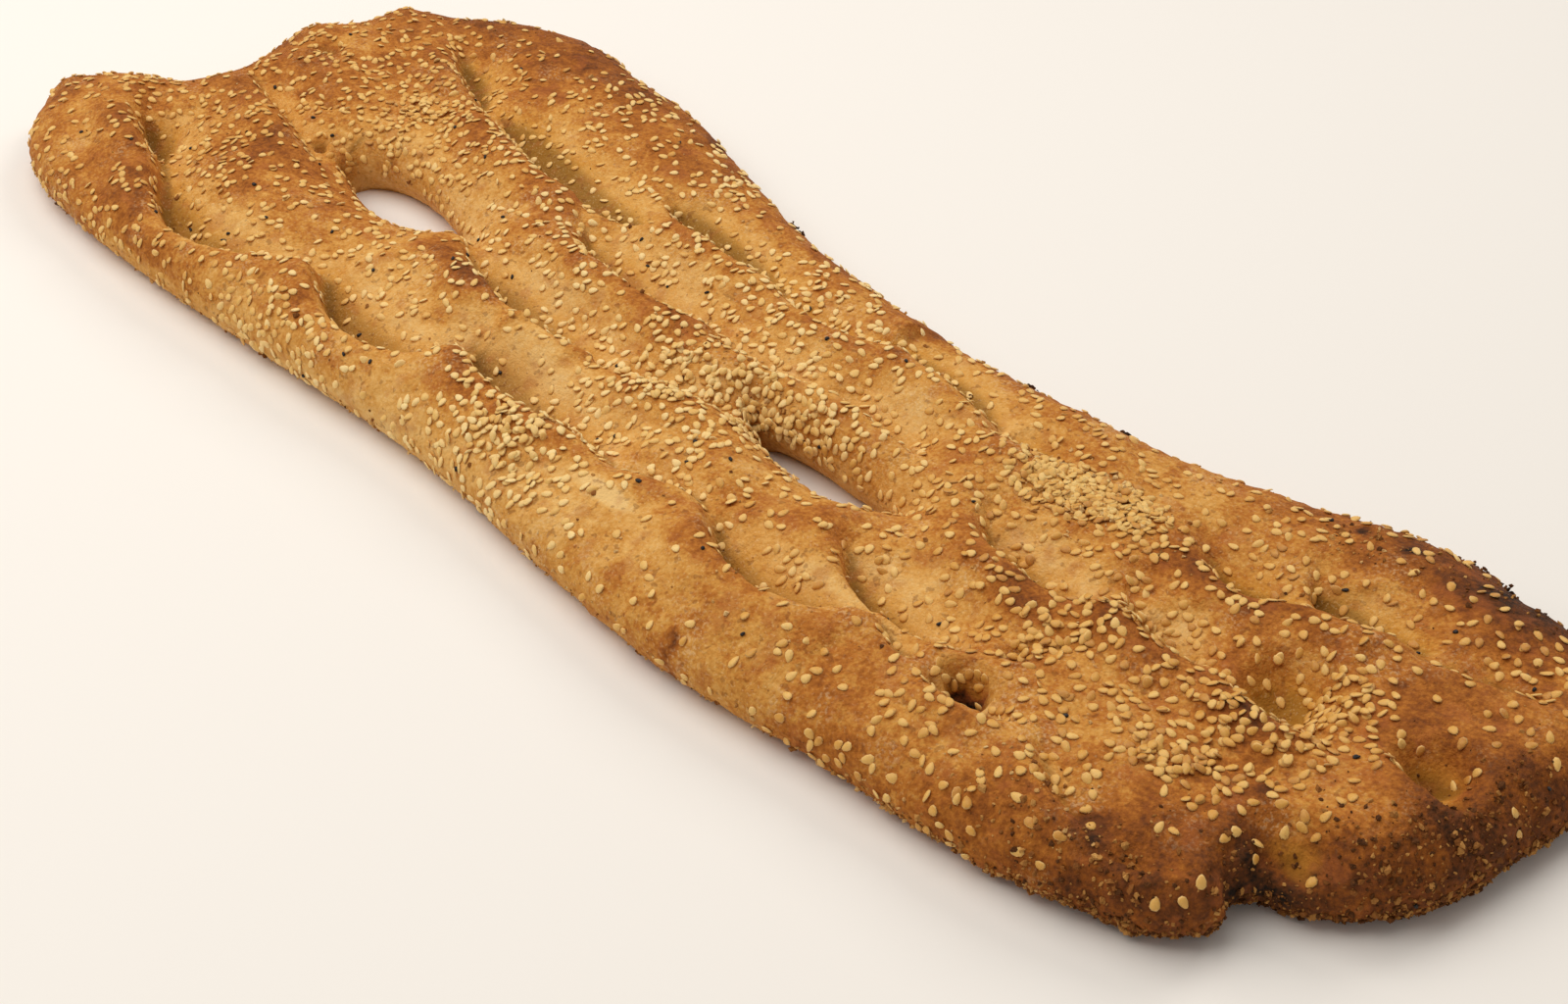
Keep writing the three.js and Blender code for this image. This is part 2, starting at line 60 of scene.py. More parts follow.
NEAR_END = [
    (239, -88), (255, -81), (262, -71), (259.5, -64), (263, -56), (274, -51), (286, -39), (294, -21.5),
    (296.5, 4), (298.5, 16), (298, 36), (290, 56), (273, 69),
]
HIGH_SIDE = [
    (252, 72), (233, 76.5), (208, 73.5), (181, 66), (145, 58), (85, 53.5), (35, 57), (-16, 64),
    (-61, 78.5), (-116, 96), (-146, 99), (-180, 105.5), (-214, 101),
]
FAR_END = [
    (-241, 84), (-263, 68.5), (-265, 46), (-275, 31), (-271, 14.5), (-263, -3), (-262, -25), (-282, -40),
    (-293, -53), (-298.5, -65), (-288, -77), (-266, -94),
]
EDGE_POINTS = LOW_SIDE + NEAR_END + HIGH_SIDE + FAR_END
MIDDLE_Y, MIDDLE_FROM, MIDDLE_TO = -20.0, -212.0, 222.0  # the line along which the loaf tore
TEARS = [  # from, to, then how far the low lip and the high lip draw back and how they lean
    (-174, -98, 10.5, 1.25, 12.5, 0.68),
    (44, 110, 10.0, 1.1, 4.2, 0.8),
]
TEAR_FULLNESS = 0.75
CHAINS = [  # furrows one after another, each from, bend, to, depth, reach
    [((-245, -57), (-231, -66), (-211, -70), 13, 15),
     ((-199, -76), (-164, -103), (-121, -81), 13, 15),
     ((-104, -71), (-73, -94), (-40, -77), 13, 16),
     ((-35, -64), (-7, -79), (28, -66), 13, 16),
     ((46, -71), (63, -60), (91, -69), 5, 10)],
    [((81, -63), (103, -88), (140, -70), 11, 14),
     ((146, -69), (157, -74), (167, -72), 5, 9)],
    [((170, -72), (182, -77), (195, -69), 13, 7)],
    [((204, -68), (217, -82), (237, -79), 4, 10),
     ((237, -81), (245, -81), (256, -71), 4, 10)],
    [((-246, -13), (-216, -18), (-160, -33), 6, 13)],
    [((-84, -29), (-43, -49), (-3, -38), 13, 14),
     ((-1, -40), (31, -37), (47, -25), 8, 13)],
    [((-126, -16), (-100, -24), (-72, -24), 6, 10)],
    [((116, -47), (135, -67), (173, -55), 10, 14)],
    [((134, -12), (156, -32), (187, -18), 12, 14)],
    [((181, -9), (194, -25), (220, -12), 11, 14)],
    [((217, -13), (232, -26), (250, -15), 12, 12)],
    [((266, -9), (277, -19), (288, -10), 8, 9)],
    [((-158, 38), (-108, 11), (-48, 21), 12, 16)],
    [((-71, 4), (-32, -12), (12, -2), 11, 15),
     ((15, -6), (35, -10), (61, -1), 7, 12)],
    [((56, 0), (83, 0), (101, -3), 8, 12)],
    [((-206, 56), (-186, 43), (-164, 34), 8, 13),
     ((-165, 32), (-149, 25), (-140, 27), 5, 10)],
    [((-63, 41), (-48, 29), (6, 29), 10, 14),
     ((11, 25), (40, 19), (53, 30), 6, 11),
     ((51, 32), (79, 30), (105, 24), 8, 13),
     ((107, 21), (119, 20), (137, 24), 6, 12)],
    [((181, 23), (200, 10), (222, 19), 6, 12)],
    [((210, 33), (220, 17), (244, 30), 10, 13),
     ((247, 25), (257, 29), (280, 35), 4, 11)],
]
PITS = [  # middle, radii, depth
    ((-226, -62), (13, 8), 8), ((-216, -7), (6, 4), 4), ((-199, -8), (9, 5), 4), ((-184, -22), (6, 5), 9),
    ((-236, 17), (10, 7), 4), ((231, -8), (18, 17), 14), ((274, -6), (14, 12), 11),
    ((267, -51), (17, 13), 11), ((179, -49), (6, 5), 4), ((141, -9), (9, 7), 4), ((178, -66), (11, 7), 17),
]
STEEP_REACH, GENTLE_REACH = 0.6, 2.2  # slopes on the right and left hand, as shares of a furrow's reach
PALE_REACH, FURTHEST = 2.1, 2.3  # the gentle slope is pale so far, and a furrow changes nothing beyond
DEEPER, DEEPEST_AT, TAIL = 1.5, 0.4, 2.2  # furrows deepen fast and run out slowly
LINKED_START, LINKED_END = 0.55, 0.5  # share of the depth where a furrow meets the next of its chain
LOOSE_START, LOOSE_END = 0.3, 0.1  # and where it begins or runs out alone
BOWL, BOWL_SWELL = 0.4, 0.9  # share of a bowl in the gentle slope, the rest is round like a rope's side
CREASE, BLEND = 0.04, 4  # softens a furrow's very bottom, and how sharply neighbours' slopes meet
ROLL, ROLL_AT, ROLL_WIDTH = 5.0, 0.9, 0.8  # rope pushed up on the right hand
FULL_DEPTH, FULL_REACH = 12, 14  # shallower and narrower furrows push up less
LEAN, LEAN_AT, LEAN_ENDS = 0.36, 0.75, 3  # how far a rope's crest leans over its furrow
UPRIGHT_EDGE, UPRIGHT_TEAR = 18, 12  # ropes stand upright this near the edge or a tear
SLOW_SWELL, SLOW_ALONG, SLOW_ACROSS, SLOW_SHIFT = 1.3, 47, 33, 0.6  # rise and fall in long waves
SLANTED_SWELL, SLANTED_ALONG, SLANTED_ACROSS = 0.7, 19, 23  # in shorter waves that run aslant
LUMP_SWELL, LUMP_ROWS, LUMP_FILES = 0.6, (8.5, 17), (-25, 9.5)  # and in lumps as wide as a finger
STATIONS, END_STEPS = 348, 134  # columns of points along each side and round each end
ROWS, CROWDING = 80, 0.4  # rows of points, closer together at the edge and in the middle
FLANK_ROWS, LIP_ROWS, BOTTOM_ROWS = 7, 6, 6
PER_POINT, RING_PER_POINT = 64, 6  # places on the edge for each of its points
SMOOTHINGS, HOLLOW_SMOOTHINGS, EASE = 1, 3, 0.5
TINY, TOUCHING = 1e-9, 1e-6


def smoothstep(value, low, high):
    share = np.clip((value - low) / (high - low), 0, 1)
    return share * share * (3 - 2 * share)


def closed_curve(points, per):
    """Smooth closed curve through the points, with so many places for each."""
    b = np.array(points, float)
    a, c, d = np.roll(b, 1, 0), np.roll(b, -1, 0), np.roll(b, -2, 0)
    t = np.linspace(0, 1, per, endpoint=False)[None, :, None]
    a, b, c, d = (p[:, None, :] for p in (a, b, c, d))
    start, end = 0.5 * (c - a), 0.5 * (d - b)
    return ((2 * t**3 - 3 * t**2 + 1) * b + (t**3 - 2 * t**2 + t) * start
            + (3 * t**2 - 2 * t**3) * c + (t**3 - t**2) * end).reshape(-1, 2)


def between(values, place):
    """Values of a list at places between its rows."""
    rows = np.arange(len(values))
    if values.ndim == 1:
        return np.interp(place, rows, values)
    return np.stack([np.interp(place, rows, column) for column in values.T], 1)


def nearest(line, x, y):
    """Distance to a line of straight pieces, how far along it that is, and the hand from -1 to 1."""
    best = np.full(x.shape, np.inf)
    along, hand = np.zeros(x.shape), np.zeros(x.shape)
    for i, ((ax, ay), (bx, by)) in enumerate(zip(line[:-1], line[1:])):
        dx, dy = bx - ax, by - ay
        length = max(math.hypot(dx, dy), TINY)
        share = np.clip(((x - ax) * dx + (y - ay) * dy) / length**2, 0, 1)
        distance = np.hypot(x - ax - share * dx, y - ay - share * dy)
        closer = distance < best
        best = np.where(closer, distance, best)
        along = np.where(closer, (i + share) / (len(line) - 1), along)
        cross = (dx * (y - ay) - dy * (x - ax)) / length / np.maximum(distance, TOUCHING)
        hand = np.where(closer, cross, hand)
    return best, along, hand


def radii_away(x, y, middle, radii):
    """How far places lie from a middle, counted in its radii along and across the loaf."""
    return np.hypot((x - middle[0]) / radii[0], (y - middle[1]) / radii[1])


def tear_at(x):
    """How far the low lip and the high lip of a tear draw back from the middle line."""
    low, high = np.zeros_like(x), np.zeros_like(x)
    for start, end, below, low_lean, above, high_lean in TEARS:
        share = np.clip((x - start) / (end - start), 0, 1)
        low = low + below * np.sin(np.pi * share**low_lean).clip(0) ** TEAR_FULLNESS
        high = high + above * np.sin(np.pi * share**high_lean).clip(0) ** TEAR_FULLNESS
    return low, high


def tear_line(tear, steps=24):
    xs = np.linspace(tear[0], tear[1], steps + 1)
    low, high = tear_at(xs)
    return np.concatenate([np.stack([xs, MIDDLE_Y - low], 1), np.stack([xs, MIDDLE_Y + high], 1)[::-1]])


def chain_line(chain, steps=10):
    """One line through the furrows of a chain, with the depth and the reach at each of its places."""
    t = np.linspace(0, 1, steps + 1)[:, None]
    places, depths, reaches = [], [], []
    for k, (start, bend, end, depth, reach) in enumerate(chain):
        start, bend, end = (np.array(p, float) for p in (start, bend, end))
        places.append((1 - t) ** 2 * start + 2 * t * (1 - t) * bend + t * t * end)
        first = LINKED_START if k > 0 else LOOSE_START
        last = LINKED_END if k < len(chain) - 1 else LOOSE_END
        before = np.minimum(t[:, 0] / DEEPEST_AT, 1)
        after = np.maximum((t[:, 0] - DEEPEST_AT) / (1 - DEEPEST_AT), 0)
        depths.append(depth * (first + (1 - first) * (1 - (1 - before) ** 2) - (1 - last) * after**TAIL))
        reaches.append(np.full(steps + 1, reach))
    return np.concatenate(places), np.concatenate(depths), np.concatenate(reaches)


def pressed(x, y):
    """How far the fingers pressed the dough down, pushed it up and aside, and left it pale."""
    down, up, pale = np.zeros(x.shape), np.zeros(x.shape), np.zeros(x.shape)
    aside = np.zeros(x.shape + (2,))
    for chain in CHAINS:
        line, depths, reaches = chain_line(chain)
        span = FURTHEST * reaches.max()
        near = ((x > line[:, 0].min() - span) & (x < line[:, 0].max() + span)
                & (y > line[:, 1].min() - span) & (y < line[:, 1].max() + span))
        distance, along, hand = nearest(line, x[near], y[near])
        place = along * (len(line) - 1)
        depth, reach = between(depths, place), between(reaches, place)
        gentleness = smoothstep(hand, -1, 1)
        slope_reach = reach * (STEEP_REACH + (GENTLE_REACH - STEEP_REACH) * gentleness)
        away = np.hypot(distance / slope_reach, CREASE)
        left = 1 - np.minimum(away, 1)
        round_side = 1 - np.sqrt(1 - left**2)
        gentle = BOWL * left**2 * (1 + BOWL_SWELL - BOWL_SWELL * left) + (1 - BOWL) * round_side
        profile = round_side + (gentle - round_side) * gentleness
        down[near] += (DEEPER * depth * profile) ** BLEND
        strength = np.minimum(depth / FULL_DEPTH, 1)
        off = (distance / reach - ROLL_AT) / ROLL_WIDTH
        push = ROLL * strength * np.minimum(reach / FULL_REACH, 1) * (1 - gentleness)
        up[near] += (push * np.maximum(1 - off * off, 0) ** 2) ** BLEND
        run = distance / (LEAN_AT * reach)
        bump = smoothstep(run, 0, 1) * (1 - smoothstep(run, 1, LEAN_ENDS))
        chord = np.gradient(line, axis=0)
        length = np.maximum(np.linalg.norm(chord, axis=1, keepdims=True), TINY)
        leftward = between(np.stack([-chord[:, 1], chord[:, 0]], 1) / length, place)
        aside[near] += (LEAN * reach * strength * (1 - gentleness) * bump)[:, None] * leftward
        slope = strength * gentleness * np.maximum(1 - distance / (PALE_REACH * reach), 0)
        pale[near] = np.maximum(pale[near], slope)
    for middle, radii, depth in PITS:
        away = np.minimum(radii_away(x, y, middle, radii), 1)
        down += (depth * (1 - away**2) ** 2) ** BLEND
    return down ** (1 / BLEND), up ** (1 / BLEND), aside, pale


def swell(x, y):
    """How far the whole loaf rises and falls, as dough stretched by hand does."""
    slow = SLOW_SWELL * np.sin(x / SLOW_ALONG + SLOW_SHIFT) * np.cos(y / SLOW_ACROSS)
    slanted = SLANTED_SWELL * np.sin(x / SLANTED_ALONG + y / SLANTED_ACROSS)
    rows, files = (np.sin(x / along + y / across) for along, across in (LUMP_ROWS, LUMP_FILES))
    return slow + slanted + LUMP_SWELL * rows * files


def quarter_round(distance, radius):
    left = 1 - np.minimum(distance / radius, 1)
    return np.sqrt(np.maximum(1 - left**2, 0))


def strips(index):
    """Faces between neighbouring columns of points, all the way round."""
    following = np.roll(index, -1, 0)
    return np.stack([index[:, :-1], following[:, :-1], following[:, 1:], index[:, 1:]], -1).reshape(-1, 4)


# The columns of the loaf's grid run from its edge in to the middle line or to the lip of a tear.
fine_edge = closed_curve(EDGE_POINTS, PER_POINT)
fine_edge = np.vstack([fine_edge, fine_edge[: len(LOW_SIDE) * PER_POINT]])
low_places = np.arange(len(LOW_SIDE) * PER_POINT + 1)
high_places = (len(LOW_SIDE) + len(NEAR_END)) * PER_POINT + np.arange(len(HIGH_SIDE) * PER_POINT + 1)
station_xs = np.linspace(MIDDLE_FROM, MIDDLE_TO, STATIONS + 1)
for tear in TEARS:
    for tear_end in tear[:2]:
        station_xs[np.abs(station_xs - tear_end).argmin()] = tear_end
low_turn = np.interp(station_xs, fine_edge[low_places, 0], low_places)
high_turn = np.interp(station_xs, fine_edge[high_places[::-1], 0], high_places[::-1])
turns = np.arange(1, END_STEPS) / END_STEPS
near_turn = low_turn[-1] + (high_turn[-1] - low_turn[-1]) * turns
far_turn = high_turn[0] + (len(EDGE_POINTS) * PER_POINT + low_turn[0] - high_turn[0]) * turns
edge = between(fine_edge, np.concatenate([low_turn, near_turn, high_turn[::-1], far_turn]))
lip_low, lip_high = tear_at(station_xs)
inner = np.vstack([
    np.stack([station_xs, MIDDLE_Y - lip_low], 1),
    np.tile([MIDDLE_TO, MIDDLE_Y], (END_STEPS - 1, 1)),
    np.stack([station_xs, MIDDLE_Y + lip_high], 1)[::-1],
    np.tile([MIDDLE_FROM, MIDDLE_Y], (END_STEPS - 1, 1)),
])
torn = np.abs(inner[:, 1] - MIDDLE_Y) > TOUCHING
lip_open = np.zeros(len(inner))
lip_open[: STATIONS + 1] = lip_low + lip_high
lip_open[STATIONS + END_STEPS : 2 * STATIONS + END_STEPS + 1] = (lip_low + lip_high)[::-1]
columns = len(edge)
inward = (inner - edge) / np.linalg.norm(inner - edge, axis=1, keepdims=True)


def under_rim(places, turn):
    """Points at these places, one row for each turn, from the rim down to the ground."""
    return np.concatenate([places, np.tile(RIM * (1 - turn), (columns, 1, 1))], 2)


even = np.linspace(0, 1, ROWS + 1)
shares = even - CROWDING * np.sin(2 * np.pi * even) / (2 * np.pi)
top = edge[:, None] + (inner - edge)[:, None] * shares[:, None]
top = np.concatenate([top, np.full((columns, ROWS + 1, 1), RIM)], 2)
turn = np.linspace(0, 1, FLANK_ROWS + 1)[1:, None]
flank_in = HEEL * (1 - np.sqrt(1 - turn**2)) * (1 - HEEL_BULGE * np.sin(np.pi * turn))
flank = under_rim(edge[:, None] + inward[:, None] * flank_in, turn)
turn = np.linspace(0, 1, LIP_ROWS + 1)[1:, None]
undercut = (TEAR_HEEL * np.minimum(lip_open / FULL_UNDERCUT, 1))[:, None, None] * turn**2
lip = under_rim(inner[:, None] - inward[:, None] * undercut, turn)
sole_to = np.concatenate([np.where(torn[:, None], lip[:, -1, :2], inner), np.zeros((columns, 1))], 1)
turn = np.linspace(0, 1, BOTTOM_ROWS + 1)[:, None]
sole = flank[:, None, -1] + (sole_to[:, None] - flank[:, None, -1]) * turn

# All of these meet at shared points, and only the points of the top rise above the rim.
grids = [top, flank, lip, sole]
loose = np.concatenate([grid.reshape(-1, 3) for grid in grids])
points, weld = np.unique(np.round(loose, 3), axis=0, return_inverse=True)
weld = weld.ravel()
starts = np.cumsum([0] + [grid.size // 3 for grid in grids])
top_index, flank_index, lip_index, sole_index = (
    weld[a:b].reshape(grid.shape[:2]) for a, b, grid in zip(starts, starts[1:], grids))
open_lip = torn | np.roll(torn, -1)
lip_faces = strips(np.concatenate([top_index[:, -1:], lip_index], 1)).reshape(columns, LIP_ROWS, 4)
crust_faces = strips(np.concatenate([flank_index[:, ::-1], top_index], 1))
faces = np.concatenate([crust_faces, lip_faces[open_lip].reshape(-1, 4), strips(sole_index[:, ::-1])])
is_top = np.zeros(len(points), bool)
is_top[top_index[:, 1:]] = True
is_top[top_index[torn, -1]] = False
px, py = points[:, 0], points[:, 1]
down, up, pale, aside = (np.zeros((len(points),) + size) for size in ((), (), (), (2,)))
down[is_top], up[is_top], aside[is_top], pale[is_top] = pressed(px[is_top], py[is_top])
edge_ring = np.vstack([closed_curve(EDGE_POINTS, RING_PER_POINT), EDGE_POINTS[:1]])
edge_gap = nearest(edge_ring, px, py)[0]
tear_gaps = [nearest(tear_line(tear), px, py)[0] for tear in TEARS]
tear_gap = np.minimum(*tear_gaps)
full = CREST + swell(px, py) - down + up
broken = 1 - smoothstep(np.hypot(px - NOTCH_AT[0], py - NOTCH_AT[1]), 0, NOTCH_REACH)
radius = EDGE_ROUND + (NEAR_ROUND - EDGE_ROUND) * smoothstep(px, NEAR_FROM, NEAR_TO)
rise = quarter_round(edge_gap, radius + (NOTCH_ROUND - radius) * broken)
past_middle = smoothstep(py, MIDDLE_Y - DIP_CHANGE, MIDDLE_Y + DIP_CHANGE)
dip = TEAR_DIP_LOW + (TEAR_DIP_HIGH - TEAR_DIP_LOW) * past_middle
for gap in tear_gaps:
    full = full - dip * np.maximum(1 - gap / TEAR_DIP_REACH, 0) ** 2
    rise = np.minimum(rise, quarter_round(gap, TEAR_ROUND))
points[is_top, 2] = (RIM + (np.maximum(full, LEAST_TOP) - RIM) * rise)[is_top]
links = np.concatenate([faces[:, [a, b]] for a, b in ((0, 1), (1, 2), (2, 3), (3, 0))])
links = np.unique(np.sort(links[links[:, 0] != links[:, 1]], 1), axis=0)
links = np.concatenate([links, links[:, ::-1]])
neighbours = np.bincount(links[:, 0], minlength=len(points))


def neighbour_mean(values):
    """Mean of a value over the points next to each point."""
    return np.bincount(links[:, 0], values[links[:, 1]], len(points)) / np.maximum(neighbours, 1)


for _ in range(SMOOTHINGS):
    points[is_top, 2] += EASE * (neighbour_mean(points[:, 2]) - points[:, 2])[is_top]
hollow = np.where(is_top, neighbour_mean(points[:, 2]) - points[:, 2], 0)
for _ in range(HOLLOW_SMOOTHINGS):
    hollow = (1 - EASE) * hollow + EASE * neighbour_mean(hollow)
upright = smoothstep(edge_gap, 0, UPRIGHT_EDGE) * smoothstep(tear_gap, 0, UPRIGHT_TEAR)
points[:, :2] += aside * upright[:, None]
relief = up - down

# Small unevenness of the skin: soft lumps, pimples and, near the rim, a crumbly grain.
SOLE_TOP, SMOOTH_LIP = 0.3, 3  # no grain below this height or this near a tear
GRAIN = [(0.3, 9.0, 1), (0.25, 4.2, 2), (0.16, 2.4, 3)]  # layers of lumps: height, size, seed
CRUMBLY_GRAIN = [(0.7, 3.4, 5), (0.5, 2.1, 6)]
CRUMBLY_REACH, CRUMBLY_FAR, CRUMBLY_MORE, CRUMBLY_RANGE = 14, 0.3, 0.7, (100, 250)
PIMPLE_HEIGHT, PIMPLE_LEAST, PIMPLE_SIZE, PIMPLE_SEED = 1.3, 0.5, 3.6, 4
LATTICE_SHIFT = 137.0  # keeps every cell's number above zero
CELL_MIX, SEED_MIX = np.array([73856093, 19349663, 83492791]), 2654435761  # scramble a cell and a seed
SCRAMBLE, FIRST_FOLD, SECOND_FOLD, POSITIVE, LEVELS = 1274126177, 13, 11, 0x7FFFFFFF, 0xFFFF


def lumps(x, y, z, size, seed):
    """Smooth random lumps of about the given size, from -1 to 1, by lattice noise in space."""
    places = np.stack([x, y, z], -1) / size + LATTICE_SHIFT
    cell = np.floor(places).astype(np.int64)
    share = places - cell
    share = share * share * (3 - 2 * share)
    total = np.zeros(x.shape)
    for corner in range(8):
        bits = np.array([corner & 1, corner >> 1 & 1, corner >> 2 & 1])
        mixed = np.bitwise_xor.reduce((cell + bits) * CELL_MIX, -1) ^ (seed * SEED_MIX)
        mixed = (mixed ^ (mixed >> FIRST_FOLD)) * SCRAMBLE & POSITIVE
        mixed = (mixed ^ (mixed >> SECOND_FOLD)) & LEVELS
        weight = np.prod(np.where(bits, share, 1 - share), -1)
        total += weight * (mixed / (LEVELS / 2) - 1)
    return total


def layered(x, y, z, layers):
    """Several layers of lumps together."""
    return sum(height * lumps(x, y, z, size, seed) for height, size, seed in layers)


def face_across(corners):
    """Vector square to each four-cornered face, as long as twice its area."""
    return np.cross(corners[:, 2] - corners[:, 0], corners[:, 3] - corners[:, 1])


def point_normals(points, faces):
    """Direction square to the skin at each point, from the faces round it."""
    across = face_across(points[faces])
    total = np.zeros_like(points)
    for corner in range(4):
        for axis in range(3):
            total[:, axis] += np.bincount(faces[:, corner], across[:, axis], len(points))
    return total / np.maximum(np.linalg.norm(total, axis=1, keepdims=True), TINY)


px, py, pz = points.T
crumbly = smoothstep(-edge_gap, -CRUMBLY_REACH, 0)
crumbly = crumbly * (CRUMBLY_FAR + CRUMBLY_MORE * smoothstep(px, *CRUMBLY_RANGE))
grain = layered(px, py, pz, GRAIN)
grain += PIMPLE_HEIGHT * np.maximum(lumps(px, py, pz, PIMPLE_SIZE, PIMPLE_SEED) - PIMPLE_LEAST, 0)
grain += crumbly * layered(px, py, pz, CRUMBLY_GRAIN)
grain = grain * (pz > SOLE_TOP) * smoothstep(tear_gap, 0, SMOOTH_LIP)
points = points + point_normals(points, faces) * grain[:, None]
px, py, pz = points.T

# The same level also carries painted shade, in the deep crack and in the deep pit by the near end.
# How far each spot has baked, from 0 for pale dough to 1 for burnt, by height, place and patches
DOUGH, CREST_BAKE, CREST_MOST = 0.41, 0.042, 5  # and more for each millimetre that a rope stands up
SLOPE_PALE, SLOPE_RANGE = 0.26, (0.12, 0.6)  # paler on the gentle slopes
LIP_PALE, LIP_RANGE, LIP_CHANGE = 0.14, (-24, -2), 4  # and by the high lip of a tear
FAR_BAKE, FAR_RANGE = 0.10, (90, 250)  # browner towards the far end
HIGH_BAKE, HIGH_RANGE = 0.12, (40, 90)  # towards the high side
NEAR_BAKE, NEAR_RANGE = 0.13, (215, 290)  # and towards the near end
RIM_BAKE, RIM_REACH, RIM_SLANT, RIM_RANGE = 0.10, 18, 2.0, (-150, 100)  # round the edge
NEAR_RIM_BAKE, NEAR_RIM_REACH, NEAR_RIM_RANGE = 0.06, 14, (190, 260)
BAKE_LUMPS = [(0.08, 26, 11), (0.09, 9, 12), (0.05, 3.5, 13)]  # height, size, seed
DARK_PATCHES = [  # middle, radii, change
    ((243, -76), (24, 16), 0.14), ((252, -66), (14, 12), 0.05), ((268, -60), (13, 7), 0.16),
    ((290, -10), (12, 26), 0.03), ((241, 62), (26, 12), 0.12), ((262, 66), (20, 12), 0.12),
    ((210, 52), (20, 10), 0.12), ((210, -91), (22, 9), 0.12), ((150, -88), (18, 12), 0.06),
    ((-145, 80), (50, 14), 0.12), ((-220, 80), (30, 16), 0.10), ((-77, -40), (28, 9), 0.06),
    ((-26, -74), (22, 8), 0.06), ((263, 6), (24, 22), 0.10), ((193, -24), (18, 12), 0.03),
    ((194, 15), (26, 13), 0.3), ((242, 60), (22, 10), 0.08), ((250, 50), (34, 16), 0.08),
    ((216, 58), (24, 12), 0.06), ((272, -56), (12, 8), 0.17), ((-157, -50), (36, 16), 0.05),
    # the next two darken the deep pit by the near end: painted shade on its wall and floor, with some
    # browning
    ((219, -9), (12, 6), 0.16), ((230, -9), (8, 5), 0.14),
]
PALE_PATCHES = [
    ((106, -91), (48, 16), 0.12), ((54, -82), (12, 3), 0.62), ((20, -88), (34, 16), 0.16),
    ((-240, -84), (30, 14), 0.05), ((265, -49), (9, 6), 0.16), ((60, 20), (60, 10), 0.05),
    ((-66, -101), (84, 20), 0.32), ((-22, -66), (28, 16), 0.22), ((-78, -52), (22, 12), 0.15),
    ((100, -86), (26, 12), 0.12), ((-237, -78), (24, 14), 0.11), ((-11, -17), (30, 12), 0.07),
    ((92, 20), (40, 18), 0.08), ((-181, -99), (26, 12), 0.16), ((-244, -68), (14, 10), 0.1),
]
PATCH_FADE = 1.2
CRACK_AT, CRACK_RADII, CRACK_TOP, CRACK_SHADE = (177, -65), (17, 12), 15.2, 0.65  # its torn inside is darkened, painted shade of the deep slit
CRACK_UNEVEN, CRACK_LUMPS, CRACK_SEED = 1.6, 2.5, 15
SPOTS = [  # burnt blisters: middle, radius
    ((109, -104), 3.0), ((181, -51), 4.0), ((250, -42), 3.0), ((230, -79), 5.0), ((-215, -8), 3.0),
    ((222, 58), 2.5), ((206, 58), 2.5), ((248, 64), 3.0), ((268, -60), 4.0),
]
SPOT_BURN, SPOT_UNEVEN, SPOT_LUMPS, SPOT_SEED = 0.34, 0.8, 3, 14


def patch(x, y, middle, radii):
    return np.exp(-PATCH_FADE * radii_away(x, y, middle, radii) ** 2)


def baked_and_shaded(x, y, z, relief, pale, edge_gap, tear_gap):
    level = DOUGH + CREST_BAKE * np.clip(relief, 0, CREST_MOST)
    level -= SLOPE_PALE * smoothstep(pale, *SLOPE_RANGE)
    past_middle = smoothstep(y, MIDDLE_Y - LIP_CHANGE, MIDDLE_Y + LIP_CHANGE)
    level -= LIP_PALE * smoothstep(-tear_gap, *LIP_RANGE) * past_middle
    level += FAR_BAKE * smoothstep(-x, *FAR_RANGE) + HIGH_BAKE * smoothstep(y, *HIGH_RANGE)
    level += NEAR_BAKE * smoothstep(x, *NEAR_RANGE)
    on_rim = smoothstep(-edge_gap, -RIM_REACH, 0)
    level += RIM_BAKE * on_rim * smoothstep(x + RIM_SLANT * y, *RIM_RANGE)
    on_near_rim = smoothstep(-edge_gap, -NEAR_RIM_REACH, 0)
    level += NEAR_RIM_BAKE * on_near_rim * smoothstep(x, *NEAR_RIM_RANGE)
    level += layered(x, y, z, BAKE_LUMPS)
    for middle, radii, change in DARK_PATCHES:
        level += change * patch(x, y, middle, radii)
    for middle, radii, change in PALE_PATCHES:
        level -= change * patch(x, y, middle, radii)
    # Painted shade: the inside of the deep crack, below its top, is darkened into a dark slit.
    below = CRACK_TOP - z + CRACK_UNEVEN * lumps(x, y, z, CRACK_LUMPS, CRACK_SEED)
    level += CRACK_SHADE * (radii_away(x, y, CRACK_AT, CRACK_RADII) < 1) * smoothstep(below, -1, 1)
    uneven = 1 + SPOT_UNEVEN * lumps(x, y, z, SPOT_LUMPS, SPOT_SEED)
    for middle, radius in SPOTS:
        level += SPOT_BURN * patch(x, y, middle, (radius, radius)) * uneven
    return level


bake = baked_and_shaded(px, py, pz, relief, pale, edge_gap, tear_gap)
HIGH_SIDE_Y, NARROWER = 20, 0.3  # the high side's furrows are narrower, so their floors turn gold and take painted shade sooner and more strongly
DEPTH_RANGE, LOW_DEPTH, MORE_DEPTH = (3, 11), 0.82, 0.18  # and more
CREASE_SHADE_RANGE = (0.06, 0.2)
on_high_side = smoothstep(py, 0, HIGH_SIDE_Y)
depth_mask = smoothstep(down / (1 - NARROWER * on_high_side), *DEPTH_RANGE)
depth_mask = depth_mask * (LOW_DEPTH + MORE_DEPTH * on_high_side)
crease = smoothstep(hollow, *CREASE_SHADE_RANGE)  # painted shade along the line where a rope's foot meets the furrow's floor
WHITE, CURVE_SHIFT, CURVE_POWER = 255, 0.055, 2.4  # a display's standard tone curve


def linear(*display):
    """A colour given in display values from 11 to 255, as the linear colour that a shader takes."""
    return (*(((c / WHITE + CURVE_SHIFT) / (1 + CURVE_SHIFT)) ** CURVE_POWER for c in display), 1.0)


